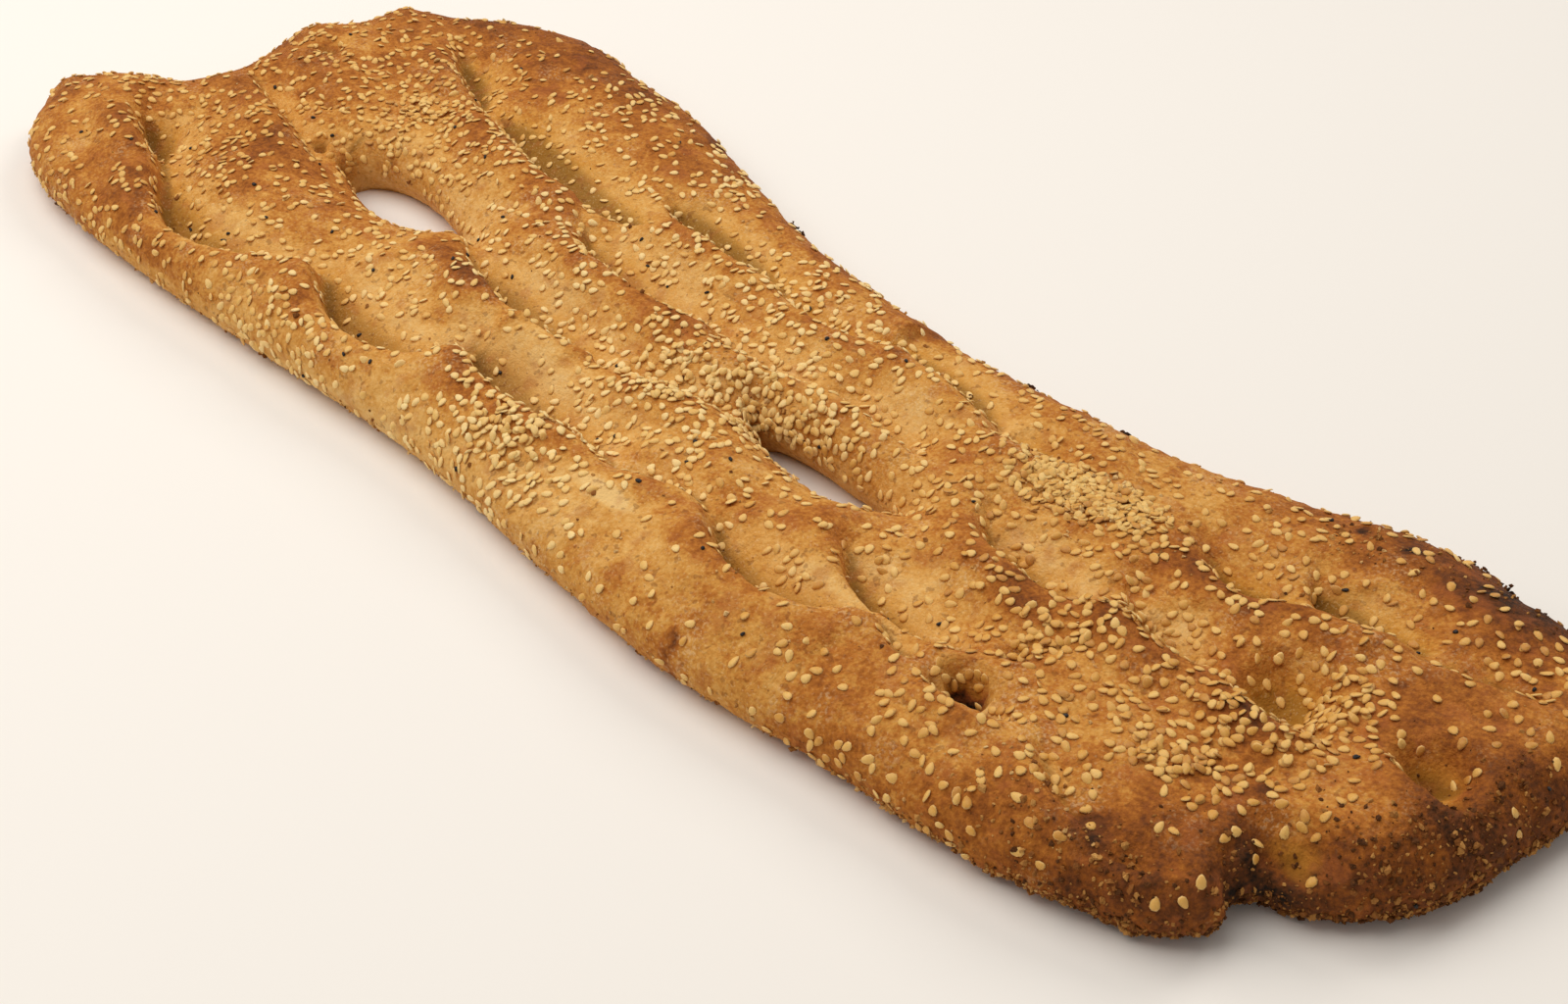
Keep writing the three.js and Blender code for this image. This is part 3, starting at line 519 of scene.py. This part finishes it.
def add_mesh(name, points, faces, attributes, smooth=True):
    """A mesh from arrays, in millimetres, with named numbers at each point for its shader."""
    mesh = bpy.data.meshes.new(name)
    corners = [list(dict.fromkeys(face)) for face in faces.tolist()]
    mesh.from_pydata((np.asarray(points) * MM).tolist(), [], corners)
    if smooth:
        mesh.shade_smooth()
    for label, values in attributes.items():
        mesh.attributes.new(label, "FLOAT", "POINT").data.foreach_set("value", np.asarray(values, np.float32))
    piece = bpy.data.objects.new(name, mesh)
    bpy.context.collection.objects.link(piece)
    return piece


class Shade:
    """A socket in a material's node tree. Sums and products of these add Math nodes."""

    def __init__(self, tree, socket):
        self.tree, self.socket = tree, socket

    def node(self, kind, settings=None, out=0, **sockets):
        """A new node's output. A socket is named by its words, or by _ and its number."""
        made = self.tree.nodes.new(kind)
        for key, value in (settings or {}).items():
            if key == "stops":
                ramp = made.color_ramp
                while len(ramp.elements) < len(value):
                    ramp.elements.new(0.5)
                for element, (place, colour) in zip(ramp.elements, value):
                    element.position, element.color = place, colour
            else:
                setattr(made, key, value)
        for key, value in sockets.items():
            socket = made.inputs[int(key[1:]) if key[1:].isdigit() else key.replace("_", " ")]
            if isinstance(value, Shade):
                self.tree.links.new(value.socket, socket)
            else:
                socket.default_value = value
        return Shade(self.tree, made.outputs[out])

    def math(self, operation, a, b):
        return self.node("ShaderNodeMath", {"operation": operation}, _0=a, _1=b)

    def __add__(self, other):
        return self.math("ADD", self, other)

    def __radd__(self, other):
        return self.math("ADD", other, self)

    def __sub__(self, other):
        return self.math("SUBTRACT", self, other)

    def __rsub__(self, other):
        return self.math("SUBTRACT", other, self)

    def __mul__(self, other):
        return self.math("MULTIPLY", self, other)

    def __rmul__(self, other):
        return self.math("MULTIPLY", other, self)

    def ramp(self, low, high):
        smooth = {"interpolation_type": "SMOOTHSTEP"}
        return self.node("ShaderNodeMapRange", smooth, Value=self, From_Min=low, From_Max=high)

    def noise(self, size, detail, shift):
        """Noise with features of this size in millimetres, shifted so that no two layers are alike."""
        place = self.node("ShaderNodeTexCoord", out=3)
        moved = self.node("ShaderNodeVectorMath", {"operation": "ADD"}, _0=place, _1=(shift, shift, shift))
        solid = {"noise_dimensions": "3D"}
        return self.node("ShaderNodeTexNoise", solid, Vector=moved, Scale=1 / (size * MM), Detail=detail)

    def number(self, label):
        return self.node("ShaderNodeAttribute", {"attribute_name": label}, out=2)

    def mix(self, share, a, b):
        return self.node("ShaderNodeMix", {"data_type": "RGBA"}, out=2, _0=share, _6=a, _7=b)


def new_material(name, **constants):
    material = bpy.data.materials.new(name)
    material.use_nodes = True
    shader = material.node_tree.nodes["Principled BSDF"]
    for key, value in constants.items():
        shader.inputs[key.replace("_", " ")].default_value = value
    return material, Shade(material.node_tree, None), shader


def plug(shade, shader, **sockets):
    for key, value in sockets.items():
        shade.tree.links.new(value.socket, shader.inputs[key.replace("_", " ")])


BAKE_COLOURS = [
    (0.00, linear(236, 192, 122)), (0.18, linear(227, 173, 96)), (0.34, linear(210, 147, 67)),
    (0.48, linear(184, 112, 42)), (0.62, linear(150, 84, 29)), (0.76, linear(112, 61, 26)),
    (0.90, linear(74, 43, 21)), (1.00, linear(38, 26, 18)),
]
WIDE_MARBLING, FINE_MARBLING = 0.38, 0.42
FLOOR_GOLD, GOLD_SHARE = linear(206, 142, 50), 0.6  # furrow floors
DEEP_FURROW_SHADE, DEEP_SHADE_SHARE = linear(124, 83, 16), 0.72  # and painted shade, olive, on their deepest parts
# painted shade in the crease at a rope's foot
CREASE_SHADE, CREASE_SHADE_SHARE = linear(112, 70, 14), 0.55
RED_CRUST, RED_SHARE = linear(172, 96, 50), 0.34
FLOUR, FLOUR_SHARE = linear(240, 208, 160), 0.3
FRECKLE, FRECKLE_SHARE = linear(116, 62, 28), 0.4
FLECK, FLECK_SHARE = linear(244, 210, 156), 0.22
COARSE_BUMP, FINE_BUMP, BUMP_STRENGTH, BUMP_HEIGHT = 0.6, 0.4, 0.9, 1.1 * MM
LEAST_ROUGH, MORE_ROUGH = 0.6, 0.25
crust = add_mesh("crust", points, faces, {"bake": bake, "depth": depth_mask, "crease": crease})
crust_material, s, shader = new_material("baked_crust", Roughness=0.7, Specular_IOR_Level=0.12)
marbling = (s.noise(5.0, 3.0, 0.2) - 0.5) * WIDE_MARBLING + (s.noise(1.3, 2.0, 0.4) - 0.5) * FINE_MARBLING
colour = s.node("ShaderNodeValToRGB", {"stops": BAKE_COLOURS}, Fac=s.number("bake") + marbling)
unburnt = 1.0 - s.number("bake").ramp(0.5, 0.75)
colour = s.mix(s.number("depth").ramp(0.0, 0.7) * GOLD_SHARE * unburnt, colour, FLOOR_GOLD)
# Painted shade: the deepest furrow floors are darkened to olive, where shade falls.
colour = s.mix(s.number("depth").ramp(0.45, 1.0) * DEEP_SHADE_SHARE * unburnt, colour, DEEP_FURROW_SHADE)
# Painted shade: the crease at a rope's foot is darkened to olive.
colour = s.mix(s.number("crease") * CREASE_SHADE_SHARE * unburnt, colour, CREASE_SHADE)
colour = s.mix(s.noise(8.0, 2.0, 1.7).ramp(0.54, 0.68) * RED_SHARE, colour, RED_CRUST)
floured = s.noise(1.0, 2.0, 2.1).ramp(0.5, 0.66) * s.noise(20.0, 2.0, 2.6).ramp(0.52, 0.66)
floured = floured * FLOUR_SHARE * unburnt * (1.0 - s.number("depth").ramp(0.0, 0.3))
colour = s.mix(floured, colour, FLOUR)
colour = s.mix(s.noise(2.4, 1.0, 0.7).ramp(0.63, 0.70) * FRECKLE_SHARE, colour, FRECKLE)
pale_crust = 1.0 - s.number("bake").ramp(0.35, 0.6)
colour = s.mix(s.noise(0.9, 1.0, 0.9).ramp(0.6, 0.7) * FLECK_SHARE * pale_crust, colour, FLECK)
bumps = s.noise(2.2, 3.0, 0.3) * COARSE_BUMP + s.noise(0.7, 2.0, 0.5) * FINE_BUMP
normal = s.node("ShaderNodeBump", Strength=BUMP_STRENGTH, Distance=BUMP_HEIGHT, Height=bumps)
roughness = LEAST_ROUGH + s.noise(3.0, 2.0, 1.3) * MORE_ROUGH
plug(s, shader, Base_Color=colour, Roughness=roughness, Normal=normal)
crust.data.materials.append(crust_material)
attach(crust, "root")
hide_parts("bread")

# Sesame: hulled seeds scattered on the glaze before baking. They stick to the crust flat or leaning,
# heap up in a few places, and toast from cream to gold. One joined mesh holds them all.
SEED_LENGTH, SEED_WIDTH, SEED_THICK, SEED_UNEVEN = 3.4, 2.3, 0.8, 0.08
SEED_SIDES, SEED_TIP, SEED_SHOULDER, SHOULDER_HEIGHT = 9, 0.3, 0.76, 0.84
SHOULDER_RIM = 0.3  # how much painted rim light the seed's shoulder gets, against 1 on its rim
SEED_COUNT, SEED_TRIES, HEAP_COUNT = 4900, 4, 320
SEED_EVEN = 0.24  # scatter away from every patch
SEED_PATCHES = [  # middle, radii, weight
    ((146, 15), (28, 13), 1.4), ((244, -12), (12, 22), 1.5), ((230, -52), (12, 8), 1.3),
    ((16, -80), (24, 22), 1.5), ((26, -34), (28, 16), 2.0), ((42, -22), (14, 8), 1.4),
    ((222, -32), (26, 12), 0.9), ((198, -14), (22, 13), 1.1), ((-170, 14), (36, 24), 0.75),
    ((46, -6), (30, 12), 0.8), ((98, 4), (14, 9), 0.7), ((130, -5), (18, 9), 0.6),
    ((184, -34), (28, 20), 0.9), ((182, -77), (26, 14), 0.6), ((186, 50), (18, 10), 0.5),
    ((270, 45), (18, 8), 0.6), ((-122, 76), (28, 12), 0.5), ((-110, 23), (20, 10), 0.5),
    ((-58, -7), (24, 10), 0.5), ((-85, -98), (36, 12), 0.7), ((-268, -54), (16, 14), 0.4),
    ((-195, -45), (36, 18), 0.3), ((-20, 22), (40, 12), 0.35), ((-200, -96), (40, 10), 0.25),
    ((60, 30), (40, 10), 0.25), ((75, -14), (26, 7), 0.6),
]
BARE_PATCHES = [
    ((104, -90), (66, 22), 0.9), ((-178, 84), (64, 22), 0.85), ((284, -20), (18, 44), 0.92),
    ((240, -84), (26, 14), 0.92), ((262, 66), (24, 12), 0.7), ((288, -38), (18, 24), 0.95),
    ((297, 0), (13, 42), 0.9), ((262, -72), (14, 16), 0.8), ((-226, -86), (46, 15), 0.6),
    ((-272, -62), (20, 16), 0.4),
]
FURROW_BARE, FURROW_RANGE = 0.75, (5, 11)  # few seeds stay in a deep furrow
DRIFT, DRIFT_SWING, DRIFT_SIZE, DRIFT_SEED = 0.75, 0.5, 14, 21
FLANK_RANGE = (3, 9)  # none lie low on the flanks
NEAR_FLANK, NEAR_FLANK_RANGE = 7, (190, 260)  # or, at the near end, so much higher
SEED_CLEAR = 2.1  # seeds nearer than this lie on one another
DENSE, DENSE_PILE, LOOSE_PILE, PILE_STEP = 0.8, 2, 0.15, 0.55  # two deep where dense, elsewhere seldom
HEAP_MIDDLE, HEAP_RADII, HEAP_TURN, HEAP_HEIGHT, HEAP_LEAST = (147, 14), (27, 12), math.radians(12), 1.5, 0.1
SEED_LIFT, PILED_LEAN, FLAT_LEAN, LEAN_SPREAD = 0.24, 0.26, 0.18, (0.4, 1.6)
GROUND_CLEAR = 0.05  # nothing goes below the ground
TOAST_SHAPE, TOAST_LESS, TOAST_MOST = (3.0, 6.0), 0.1, 0.85
NEAR_TOAST = [(0.34, 30, 170), (0.08, 200, 290)]  # more, from here to there along the loaf
FAR_TOAST, FAR_TOAST_RANGE = 0.3, (60, 200)
rng = np.random.default_rng(7)
corner = points[crust_faces]
quad_across = face_across(corner)
quad_area = 0.5 * np.linalg.norm(quad_across, axis=1)
quad_normal = quad_across / np.maximum(2 * quad_area, TINY)[:, None]
qx, qy, qz = corner.mean(1).T
density = np.full(len(qx), SEED_EVEN)
for middle, radii, weight in SEED_PATCHES:
    density += weight * patch(qx, qy, middle, radii)
for middle, radii, weight in BARE_PATCHES:
    density *= 1 - weight * patch(qx, qy, middle, radii)
density *= 1 - FURROW_BARE * smoothstep(down[crust_faces].mean(1), *FURROW_RANGE)
drift = DRIFT + DRIFT_SWING * lumps(qx, qy, np.zeros_like(qx), DRIFT_SIZE, DRIFT_SEED)
density *= drift * smoothstep(qz - NEAR_FLANK * smoothstep(qx, *NEAR_FLANK_RANGE), *FLANK_RANGE)


def places_on_crust(weights, count, draws):
    """Places drawn at random on the crust by weight and area, and the number of the face each is on."""
    chances = np.maximum(weights, 0) * quad_area
    picked = draws.choice(len(chances), count, p=chances / chances.sum())
    u, v = draws.uniform(0, 1, (2, count, 1))
    a, b, c, d = corner[picked].transpose(1, 0, 2)
    return (a * (1 - u) + b * u) * (1 - v) + (d * (1 - u) + c * u) * v, picked


spot, picked = places_on_crust(density, SEED_TRIES * SEED_COUNT, rng)
kept, lifts, cells = [], [], {}
for i, place in enumerate(spot):
    kx, ky, kz = np.floor(place / SEED_CLEAR).astype(int)
    close = [j for dx in (-1, 0, 1) for dy in (-1, 0, 1) for dz in (-1, 0, 1)
             for j in cells.get((kx + dx, ky + dy, kz + dz), ())]
    crowd = sum(np.linalg.norm(spot[j] - place) < SEED_CLEAR for j in close)
    if crowd > (DENSE_PILE if density[picked[i]] > DENSE else int(rng.uniform() < LOOSE_PILE)):
        continue
    cells.setdefault((kx, ky, kz), []).append(i)
    kept.append(i)
    lifts.append(PILE_STEP * crowd)
    if len(kept) == SEED_COUNT:
        break
along_heap = (qx - HEAP_MIDDLE[0]) * math.cos(HEAP_TURN) + (qy - HEAP_MIDDLE[1]) * math.sin(HEAP_TURN)
across_heap = (qy - HEAP_MIDDLE[1]) * math.cos(HEAP_TURN) - (qx - HEAP_MIDDLE[0]) * math.sin(HEAP_TURN)
heap_share = np.maximum(1 - radii_away(along_heap, across_heap, (0, 0), HEAP_RADII) ** 2, 0)
heap_spot, heap_picked = places_on_crust(heap_share, HEAP_COUNT, rng)
heap_lifts = HEAP_HEIGHT * heap_share[heap_picked] * rng.uniform(HEAP_LEAST, 1, HEAP_COUNT)
places = np.concatenate([spot[kept], heap_spot])
normals = quad_normal[np.concatenate([picked[kept], heap_picked])]
lifts = np.concatenate([lifts, heap_lifts])
count = len(places)


def flat_seed(sides, tip, shoulder, shoulder_height):
    """Points of one flat seed with a drop-shaped outline and a rounded top, its faces, and its rim."""
    turn = np.linspace(0, 2 * np.pi, sides, endpoint=False)
    outline = np.stack([np.cos(turn), np.sin(turn) * (1 - tip * np.cos(turn)), 0 * turn], 1)
    upper = outline * shoulder + [0, 0, shoulder_height]
    points = np.concatenate([outline, upper, [[0, 0, 1], [0, 0, -1]]])
    rim = np.repeat([1.0, SHOULDER_RIM, 0.0], [sides, sides, 2])
    crown, foot = 2 * sides, 2 * sides + 1
    faces = []
    for k in range(sides):
        n = (k + 1) % sides
        faces += [(k, n, sides + n), (k, sides + n, sides + k), (sides + k, sides + n, crown), (n, k, foot)]
    return points, np.array(faces), rim


def scatter(shape, faces, places, normals, sizes, lift, lean, draws):
    """Copies of one shape, laid on the crust at any turn, as one set of points and faces."""
    total = len(places)
    normals = normals + draws.normal(0, 1, (total, 3)) * lean[:, None]
    normals /= np.linalg.norm(normals, axis=1, keepdims=True)
    along = draws.normal(0, 1, (total, 3))
    along -= normals * (along * normals).sum(1, keepdims=True)
    along /= np.linalg.norm(along, axis=1, keepdims=True)
    across = np.cross(normals, along)
    local = shape * sizes[:, None, :]
    spread = local[..., :1] * along[:, None] + local[..., 1:2] * across[:, None]
    spread = spread + local[..., 2:] * normals[:, None]
    points = (places + normals * lift[:, None])[:, None] + spread
    points[..., 2] = np.maximum(points[..., 2], GROUND_CLEAR)
    first_points = np.arange(total) * shape.shape[-2]
    return points.reshape(-1, 3), (faces + first_points[:, None, None]).reshape(-1, 3)


seed_points, seed_faces, seed_rim = flat_seed(SEED_SIDES, SEED_TIP, SEED_SHOULDER, SHOULDER_HEIGHT)
seed_sizes = 0.5 * np.array([SEED_LENGTH, SEED_WIDTH, SEED_THICK]) * rng.normal(1, SEED_UNEVEN, (count, 3))
lean = np.where(lifts > 0, PILED_LEAN, FLAT_LEAN) * rng.uniform(*LEAN_SPREAD, count)
all_points, all_faces = scatter(
    seed_points, seed_faces, places, normals, seed_sizes, SEED_LIFT + lifts, lean, rng)
toast = rng.beta(*TOAST_SHAPE, count) - TOAST_LESS
for more, start, end in NEAR_TOAST:
    toast = toast + more * smoothstep(places[:, 0], start, end)
toast = np.clip(toast + FAR_TOAST * smoothstep(-places[:, 0], *FAR_TOAST_RANGE), 0, TOAST_MOST)
sesame = add_mesh("sesame", all_points, all_faces, {
    "toast": np.repeat(toast, len(seed_points)), "rim": np.tile(seed_rim, count),
})
sesame_material, s, shader = new_material(
    "sesame_seed", Roughness=0.5, Specular_IOR_Level=0.35, Subsurface_Weight=0.2, Subsurface_Scale=0.4 * MM,
    Subsurface_Radius=(1.0, 0.9, 0.8))
TOAST_COLOURS = [
    (0.0, linear(250, 216, 148)), (0.35, linear(238, 192, 110)), (0.7, linear(220, 161, 72)),
    (1.0, linear(183, 116, 46)),
]
PAINTED_RIM_LIGHT, PAINTED_RIM_SHARE = linear(250, 220, 158), 0.4
SWING = 0.3  # noise moves a seed's or crumb's colour by up to half of this either way
toasting = s.number("toast") + s.noise(1.5, 2.0, 0.1) * SWING - SWING / 2
toasted = s.node("ShaderNodeValToRGB", {"stops": TOAST_COLOURS}, Fac=toasting)
# Painted light: a seed's thin rim is made paler, for the light that shows through its edge.
toasted = s.mix(s.number("rim").ramp(0.3, 1.0) * PAINTED_RIM_SHARE, toasted, PAINTED_RIM_LIGHT)
seed_bump = s.node("ShaderNodeBump", Strength=0.3, Distance=0.3 * MM, Height=s.noise(0.6, 2.0, 0.2))
plug(s, shader, Base_Color=toasted, Normal=seed_bump)
sesame.data.materials.append(sesame_material)
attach(sesame, "root")

# Black seeds: a few small nigella seeds strewn among the sesame, dull black and a little angular.
# They lie on the crust like the sesame, stuck in the glaze. One joined mesh holds them all.
BLACK_LENGTH, BLACK_WIDTH, BLACK_THICK, BLACK_UNEVEN = 1.7, 1.15, 1.0, 0.12
BLACK_COUNT, BLACK_LIFT, BLACK_LEAN = 100, 0.25, 0.2
BLACK_SIDES, BLACK_RINGS, BLACK_TIP = 6, 4, 0.2
PLUMPNESS = 0.85  # below 1 a seed keeps its width nearer to its ends


def plump_seed(around, along, tip):
    """Points of one seed of unit half-length, round and narrow at one end, and its faces."""
    angle = np.linspace(0, np.pi, along + 1)[1:-1]
    turn = np.linspace(0, 2 * np.pi, around, endpoint=False)
    width = np.sin(angle) ** PLUMPNESS * (1 - tip * np.cos(angle))
    rings = np.stack(np.broadcast_arrays(
        np.cos(angle)[:, None], width[:, None] * np.cos(turn), width[:, None] * np.sin(turn)), -1)
    points = np.concatenate([[[1, 0, 0]], rings.reshape(-1, 3), [[-1, 0, 0]]])
    last = len(points) - 1
    faces = []
    for k in range(around):
        n = (k + 1) % around
        faces += [(0, 1 + k, 1 + n), (last, last - around + n, last - around + k)]
        for r in range(along - 2):
            a, b = 1 + r * around, 1 + (r + 1) * around
            faces += [(a + k, b + k, b + n), (a + k, b + n, a + n)]
    return points, np.array(faces)


black_points, black_faces = plump_seed(BLACK_SIDES, BLACK_RINGS, BLACK_TIP)
black_spot, black_picked = places_on_crust(np.full_like(density, SEED_EVEN), BLACK_COUNT, rng)
black_sizes = 0.5 * np.array([BLACK_LENGTH, BLACK_WIDTH, BLACK_THICK])
black_sizes = black_sizes * rng.normal(1, BLACK_UNEVEN, (BLACK_COUNT, 3))
black_seeds = add_mesh("black_seeds", *scatter(
    black_points, black_faces, black_spot, quad_normal[black_picked], black_sizes,
    np.full(BLACK_COUNT, BLACK_LIFT), np.full(BLACK_COUNT, BLACK_LEAN), rng), {})
black_material, s, shader = new_material("black_seed", Roughness=0.6, Specular_IOR_Level=0.3)
DULL_BLACK, DUSTED_BLACK = linear(32, 29, 30), linear(74, 66, 62)
dusted = s.mix(s.noise(0.5, 2.0, 0.6).ramp(0.45, 0.75), DULL_BLACK, DUSTED_BLACK)
black_bump = s.node("ShaderNodeBump", Strength=0.5, Distance=0.2 * MM, Height=s.noise(0.3, 2.0, 0.8))
plug(s, shader, Base_Color=dusted, Normal=black_bump)
black_seeds.data.materials.append(black_material)
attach(black_seeds, "root")

# Crumbs: bran and flour from the wooden peel and bits of seed hull, baked onto the rim and the heap,
# tan to brown, and a few charred lumps on the edge. One joined mesh holds them all.
CRUMB_COUNT, CRUMB_RADIUS, CRUMB_MIDDLE, CRUMB_SPREAD, CRUMB_MOST = 7500, 0.36, -0.1, 0.5, 0.75
CRUMB_SIDES, CRUMB_RINGS, CRUMB_TIP = 5, 3, 0.15
CRUMB_ROUGH, CRUMB_STRETCH, CRUMB_LEAN, CRUMB_LIFT = (0.55, 1.45), (0.6, 1.6), 0.6, 0.3
CRUMB_PATCHES = [  # middle, radii, weight
    ((147, 14), (22, 10), 6.0), ((266, -62), (14, 12), 3.0), ((290, -28), (12, 30), 3.0),
    ((52, -20), (8, 6), 6.0), ((20, -14), (30, 10), 1.0), ((212, 52), (10, 6), 5.0),
    ((240, 62), (26, 10), 1.5), ((238, -86), (32, 12), 4.0), ((284, -38), (18, 14), 3.0),
    ((294, -8), (9, 26), 3.0),
]
CRUMB_EVEN, FLANK_CRUMBS, FLANK_CRUMBS_RANGE = 0.05, 8.0, (-13, -4)  # more low on the flanks
FAR_SHARE, HIGH_SHARE, HIGH_SHARE_Y = 0.12, 0.2, 30  # fewest at the far end, more on the high side
NEAR_SHARE, NEAR_SHARE_RANGE = 0.88, (120, 250)  # and most at the near end
FOOT_RANGE = (0.2, 1.5)  # none where the flank meets the ground
HEAP_CRUMBS, HEAP_PALE = 0.8, 0.8  # on the heap they lie nearly as high as its seeds, and are pale
CHAR_SHAPE, CHAR_MOST, NEAR_CHAR, NEAR_CHAR_RANGE = (1.6, 3.0), 0.8, 0.3, (190, 260)
CHARRED = [(90, 55), (126, 59), (232, 78), (243, 75), (-30, 67)]  # places on the high edge
CHARRED_CRUMBS, CHARRED_RADIUS, CHARRED_SPREAD = 18, 0.6, 0.35
CHARRED_REACH, CHARRED_HEIGHT, CHARRED_CHAR = 1.3, 2.4, (0.7, 0.95)
OUT_OF_REACH, ABOVE_RIM = 1000, 1
share = FAR_SHARE + HIGH_SHARE * (qy > HIGH_SHARE_Y) + NEAR_SHARE * smoothstep(qx, *NEAR_SHARE_RANGE)
crumb_weight = CRUMB_EVEN + FLANK_CRUMBS * smoothstep(-qz, *FLANK_CRUMBS_RANGE) * share
crumb_weight *= smoothstep(qz, *FOOT_RANGE)
for middle, radii, weight in CRUMB_PATCHES:
    crumb_weight += weight * patch(qx, qy, middle, radii)
crumb_spot, crumb_picked = places_on_crust(crumb_weight, CRUMB_COUNT, rng)
crumb_radius = CRUMB_RADIUS * rng.lognormal(CRUMB_MIDDLE, CRUMB_SPREAD, CRUMB_COUNT)
crumb_radius = np.minimum(crumb_radius, CRUMB_MOST)
on_heap = heap_share[crumb_picked]
crumb_lift = CRUMB_LIFT * crumb_radius + HEAP_HEIGHT * HEAP_CRUMBS * on_heap * rng.uniform(0, 1, CRUMB_COUNT)
crumb_char = rng.beta(*CHAR_SHAPE, CRUMB_COUNT)
crumb_char = crumb_char + NEAR_CHAR * smoothstep(crumb_spot[:, 0], *NEAR_CHAR_RANGE)
crumb_char = np.clip(crumb_char - HEAP_PALE * on_heap, 0, CHAR_MOST)
for middle in CHARRED:
    gap = np.hypot(qx - middle[0], qy - middle[1]) + OUT_OF_REACH * (qz < RIM + ABOVE_RIM)
    nearness = np.exp(-((gap - gap.min()) / CHARRED_REACH) ** 2)
    more_spot, more_picked = places_on_crust(nearness, CHARRED_CRUMBS, rng)
    more_radius = CHARRED_RADIUS * rng.lognormal(0, CHARRED_SPREAD, CHARRED_CRUMBS)
    more_lift = rng.uniform(0, CHARRED_HEIGHT, CHARRED_CRUMBS)
    more_char = rng.uniform(*CHARRED_CHAR, CHARRED_CRUMBS)
    crumb_spot = np.concatenate([crumb_spot, more_spot])
    crumb_picked = np.concatenate([crumb_picked, more_picked])
    crumb_radius = np.concatenate([crumb_radius, more_radius])
    crumb_lift = np.concatenate([crumb_lift, more_lift])
    crumb_char = np.concatenate([crumb_char, more_char])
crumb_points, crumb_faces = plump_seed(CRUMB_SIDES, CRUMB_RINGS, CRUMB_TIP)
crumb_shapes = crumb_points * rng.uniform(*CRUMB_ROUGH, (len(crumb_spot), len(crumb_points), 1))
crumb_sizes = crumb_radius[:, None] * rng.uniform(*CRUMB_STRETCH, (len(crumb_spot), 3))
all_points, all_faces = scatter(
    crumb_shapes, crumb_faces, crumb_spot, quad_normal[crumb_picked], crumb_sizes, crumb_lift,
    np.full(len(crumb_spot), CRUMB_LEAN), rng)
crumb_char = np.repeat(crumb_char, len(crumb_points))
crumbs = add_mesh("crumbs", all_points, all_faces, {"char": crumb_char}, smooth=False)
crumb_material, s, shader = new_material("bran_crumb", Roughness=0.85, Specular_IOR_Level=0.1)
CHAR_COLOURS = [
    (0.0, linear(226, 190, 130)), (0.3, linear(196, 142, 76)), (0.6, linear(140, 86, 40)),
    (0.85, linear(70, 42, 24)), (1.0, linear(34, 24, 18)),
]
charring = s.number("char") + s.noise(0.4, 2.0, 0.4) * SWING - SWING / 2
charred = s.node("ShaderNodeValToRGB", {"stops": CHAR_COLOURS}, Fac=charring)
crumb_bump = s.node("ShaderNodeBump", Strength=0.5, Distance=0.2 * MM, Height=s.noise(0.25, 2.0, 0.9))
plug(s, shader, Base_Color=charred, Normal=crumb_bump)
crumbs.data.materials.append(crumb_material)
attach(crumbs, "root")

# Floor: plain pale ground, wide enough that its edge never shows, of a dull even white.
# The loaf lies on it by its own weight, and nothing fixes it.
FLOOR_HALF = 9000
floor_corners = FLOOR_HALF * np.array([(-1, -1, 0), (1, -1, 0), (1, 1, 0), (-1, 1, 0)])
floor = add_mesh("floor", floor_corners, np.array([(0, 1, 2, 3)]), {}, smooth=False)
floor_material = new_material("pale_ground", Base_Color=linear(246, 240, 232), Roughness=0.9)[0]
floor.data.materials.append(floor_material)

# Light: one wide soft lamp above the far half of the loaf, and a second one further off beyond its
# high side. Both face the loaf's middle, and a warm white light comes from all round.
WARM_WHITE, ALL_ROUND = (1.0, 0.98, 0.95), 0.32
LAMPS = [("key", (-0.5, -0.3, 1.25), 1.6, 17.0), ("side", (-0.3, 2.4, 2.0), 1.4, 26.0)]  # place, size, power
world = bpy.data.worlds.new("studio")
bpy.context.scene.world = world
world.use_nodes = True
world.node_tree.nodes["Background"].inputs["Color"].default_value = (*WARM_WHITE, 1)
world.node_tree.nodes["Background"].inputs["Strength"].default_value = ALL_ROUND
for name, place, size, power in LAMPS:
    lamp = bpy.data.lights.new(name, "AREA")
    lamp.size, lamp.energy, lamp.color = size, power, WARM_WHITE
    light = bpy.data.objects.new(name, lamp)
    light.location = place
    light.rotation_euler = (-Vector(place)).to_track_quat("-Z", "Y").to_euler()
    bpy.context.collection.objects.link(light)

# Camera: at the photograph's viewing angle, beyond the browner end and off the low side, looking
# down along the loaf so that it runs away to the upper left.
CAMERA_AT = (0.45014, -0.37456, 0.37991)  # metres
CAMERA_AZIMUTH, CAMERA_PITCH = math.radians(47.7), math.radians(36.4)
LENS, SENSOR = 50.36, 36.0
lens = bpy.data.cameras.new("camera")
lens.lens, lens.sensor_width = LENS, SENSOR
camera = bpy.data.objects.new("camera", lens)
camera.location = CAMERA_AT
level = math.cos(CAMERA_PITCH)
aim = Vector((-math.sin(CAMERA_AZIMUTH) * level, math.cos(CAMERA_AZIMUTH) * level, -math.sin(CAMERA_PITCH)))
camera.rotation_euler = aim.to_track_quat("-Z", "Y").to_euler()
bpy.context.collection.objects.link(camera)
bpy.context.scene.camera = camera
bpy.context.scene.view_settings.view_transform = "Standard"
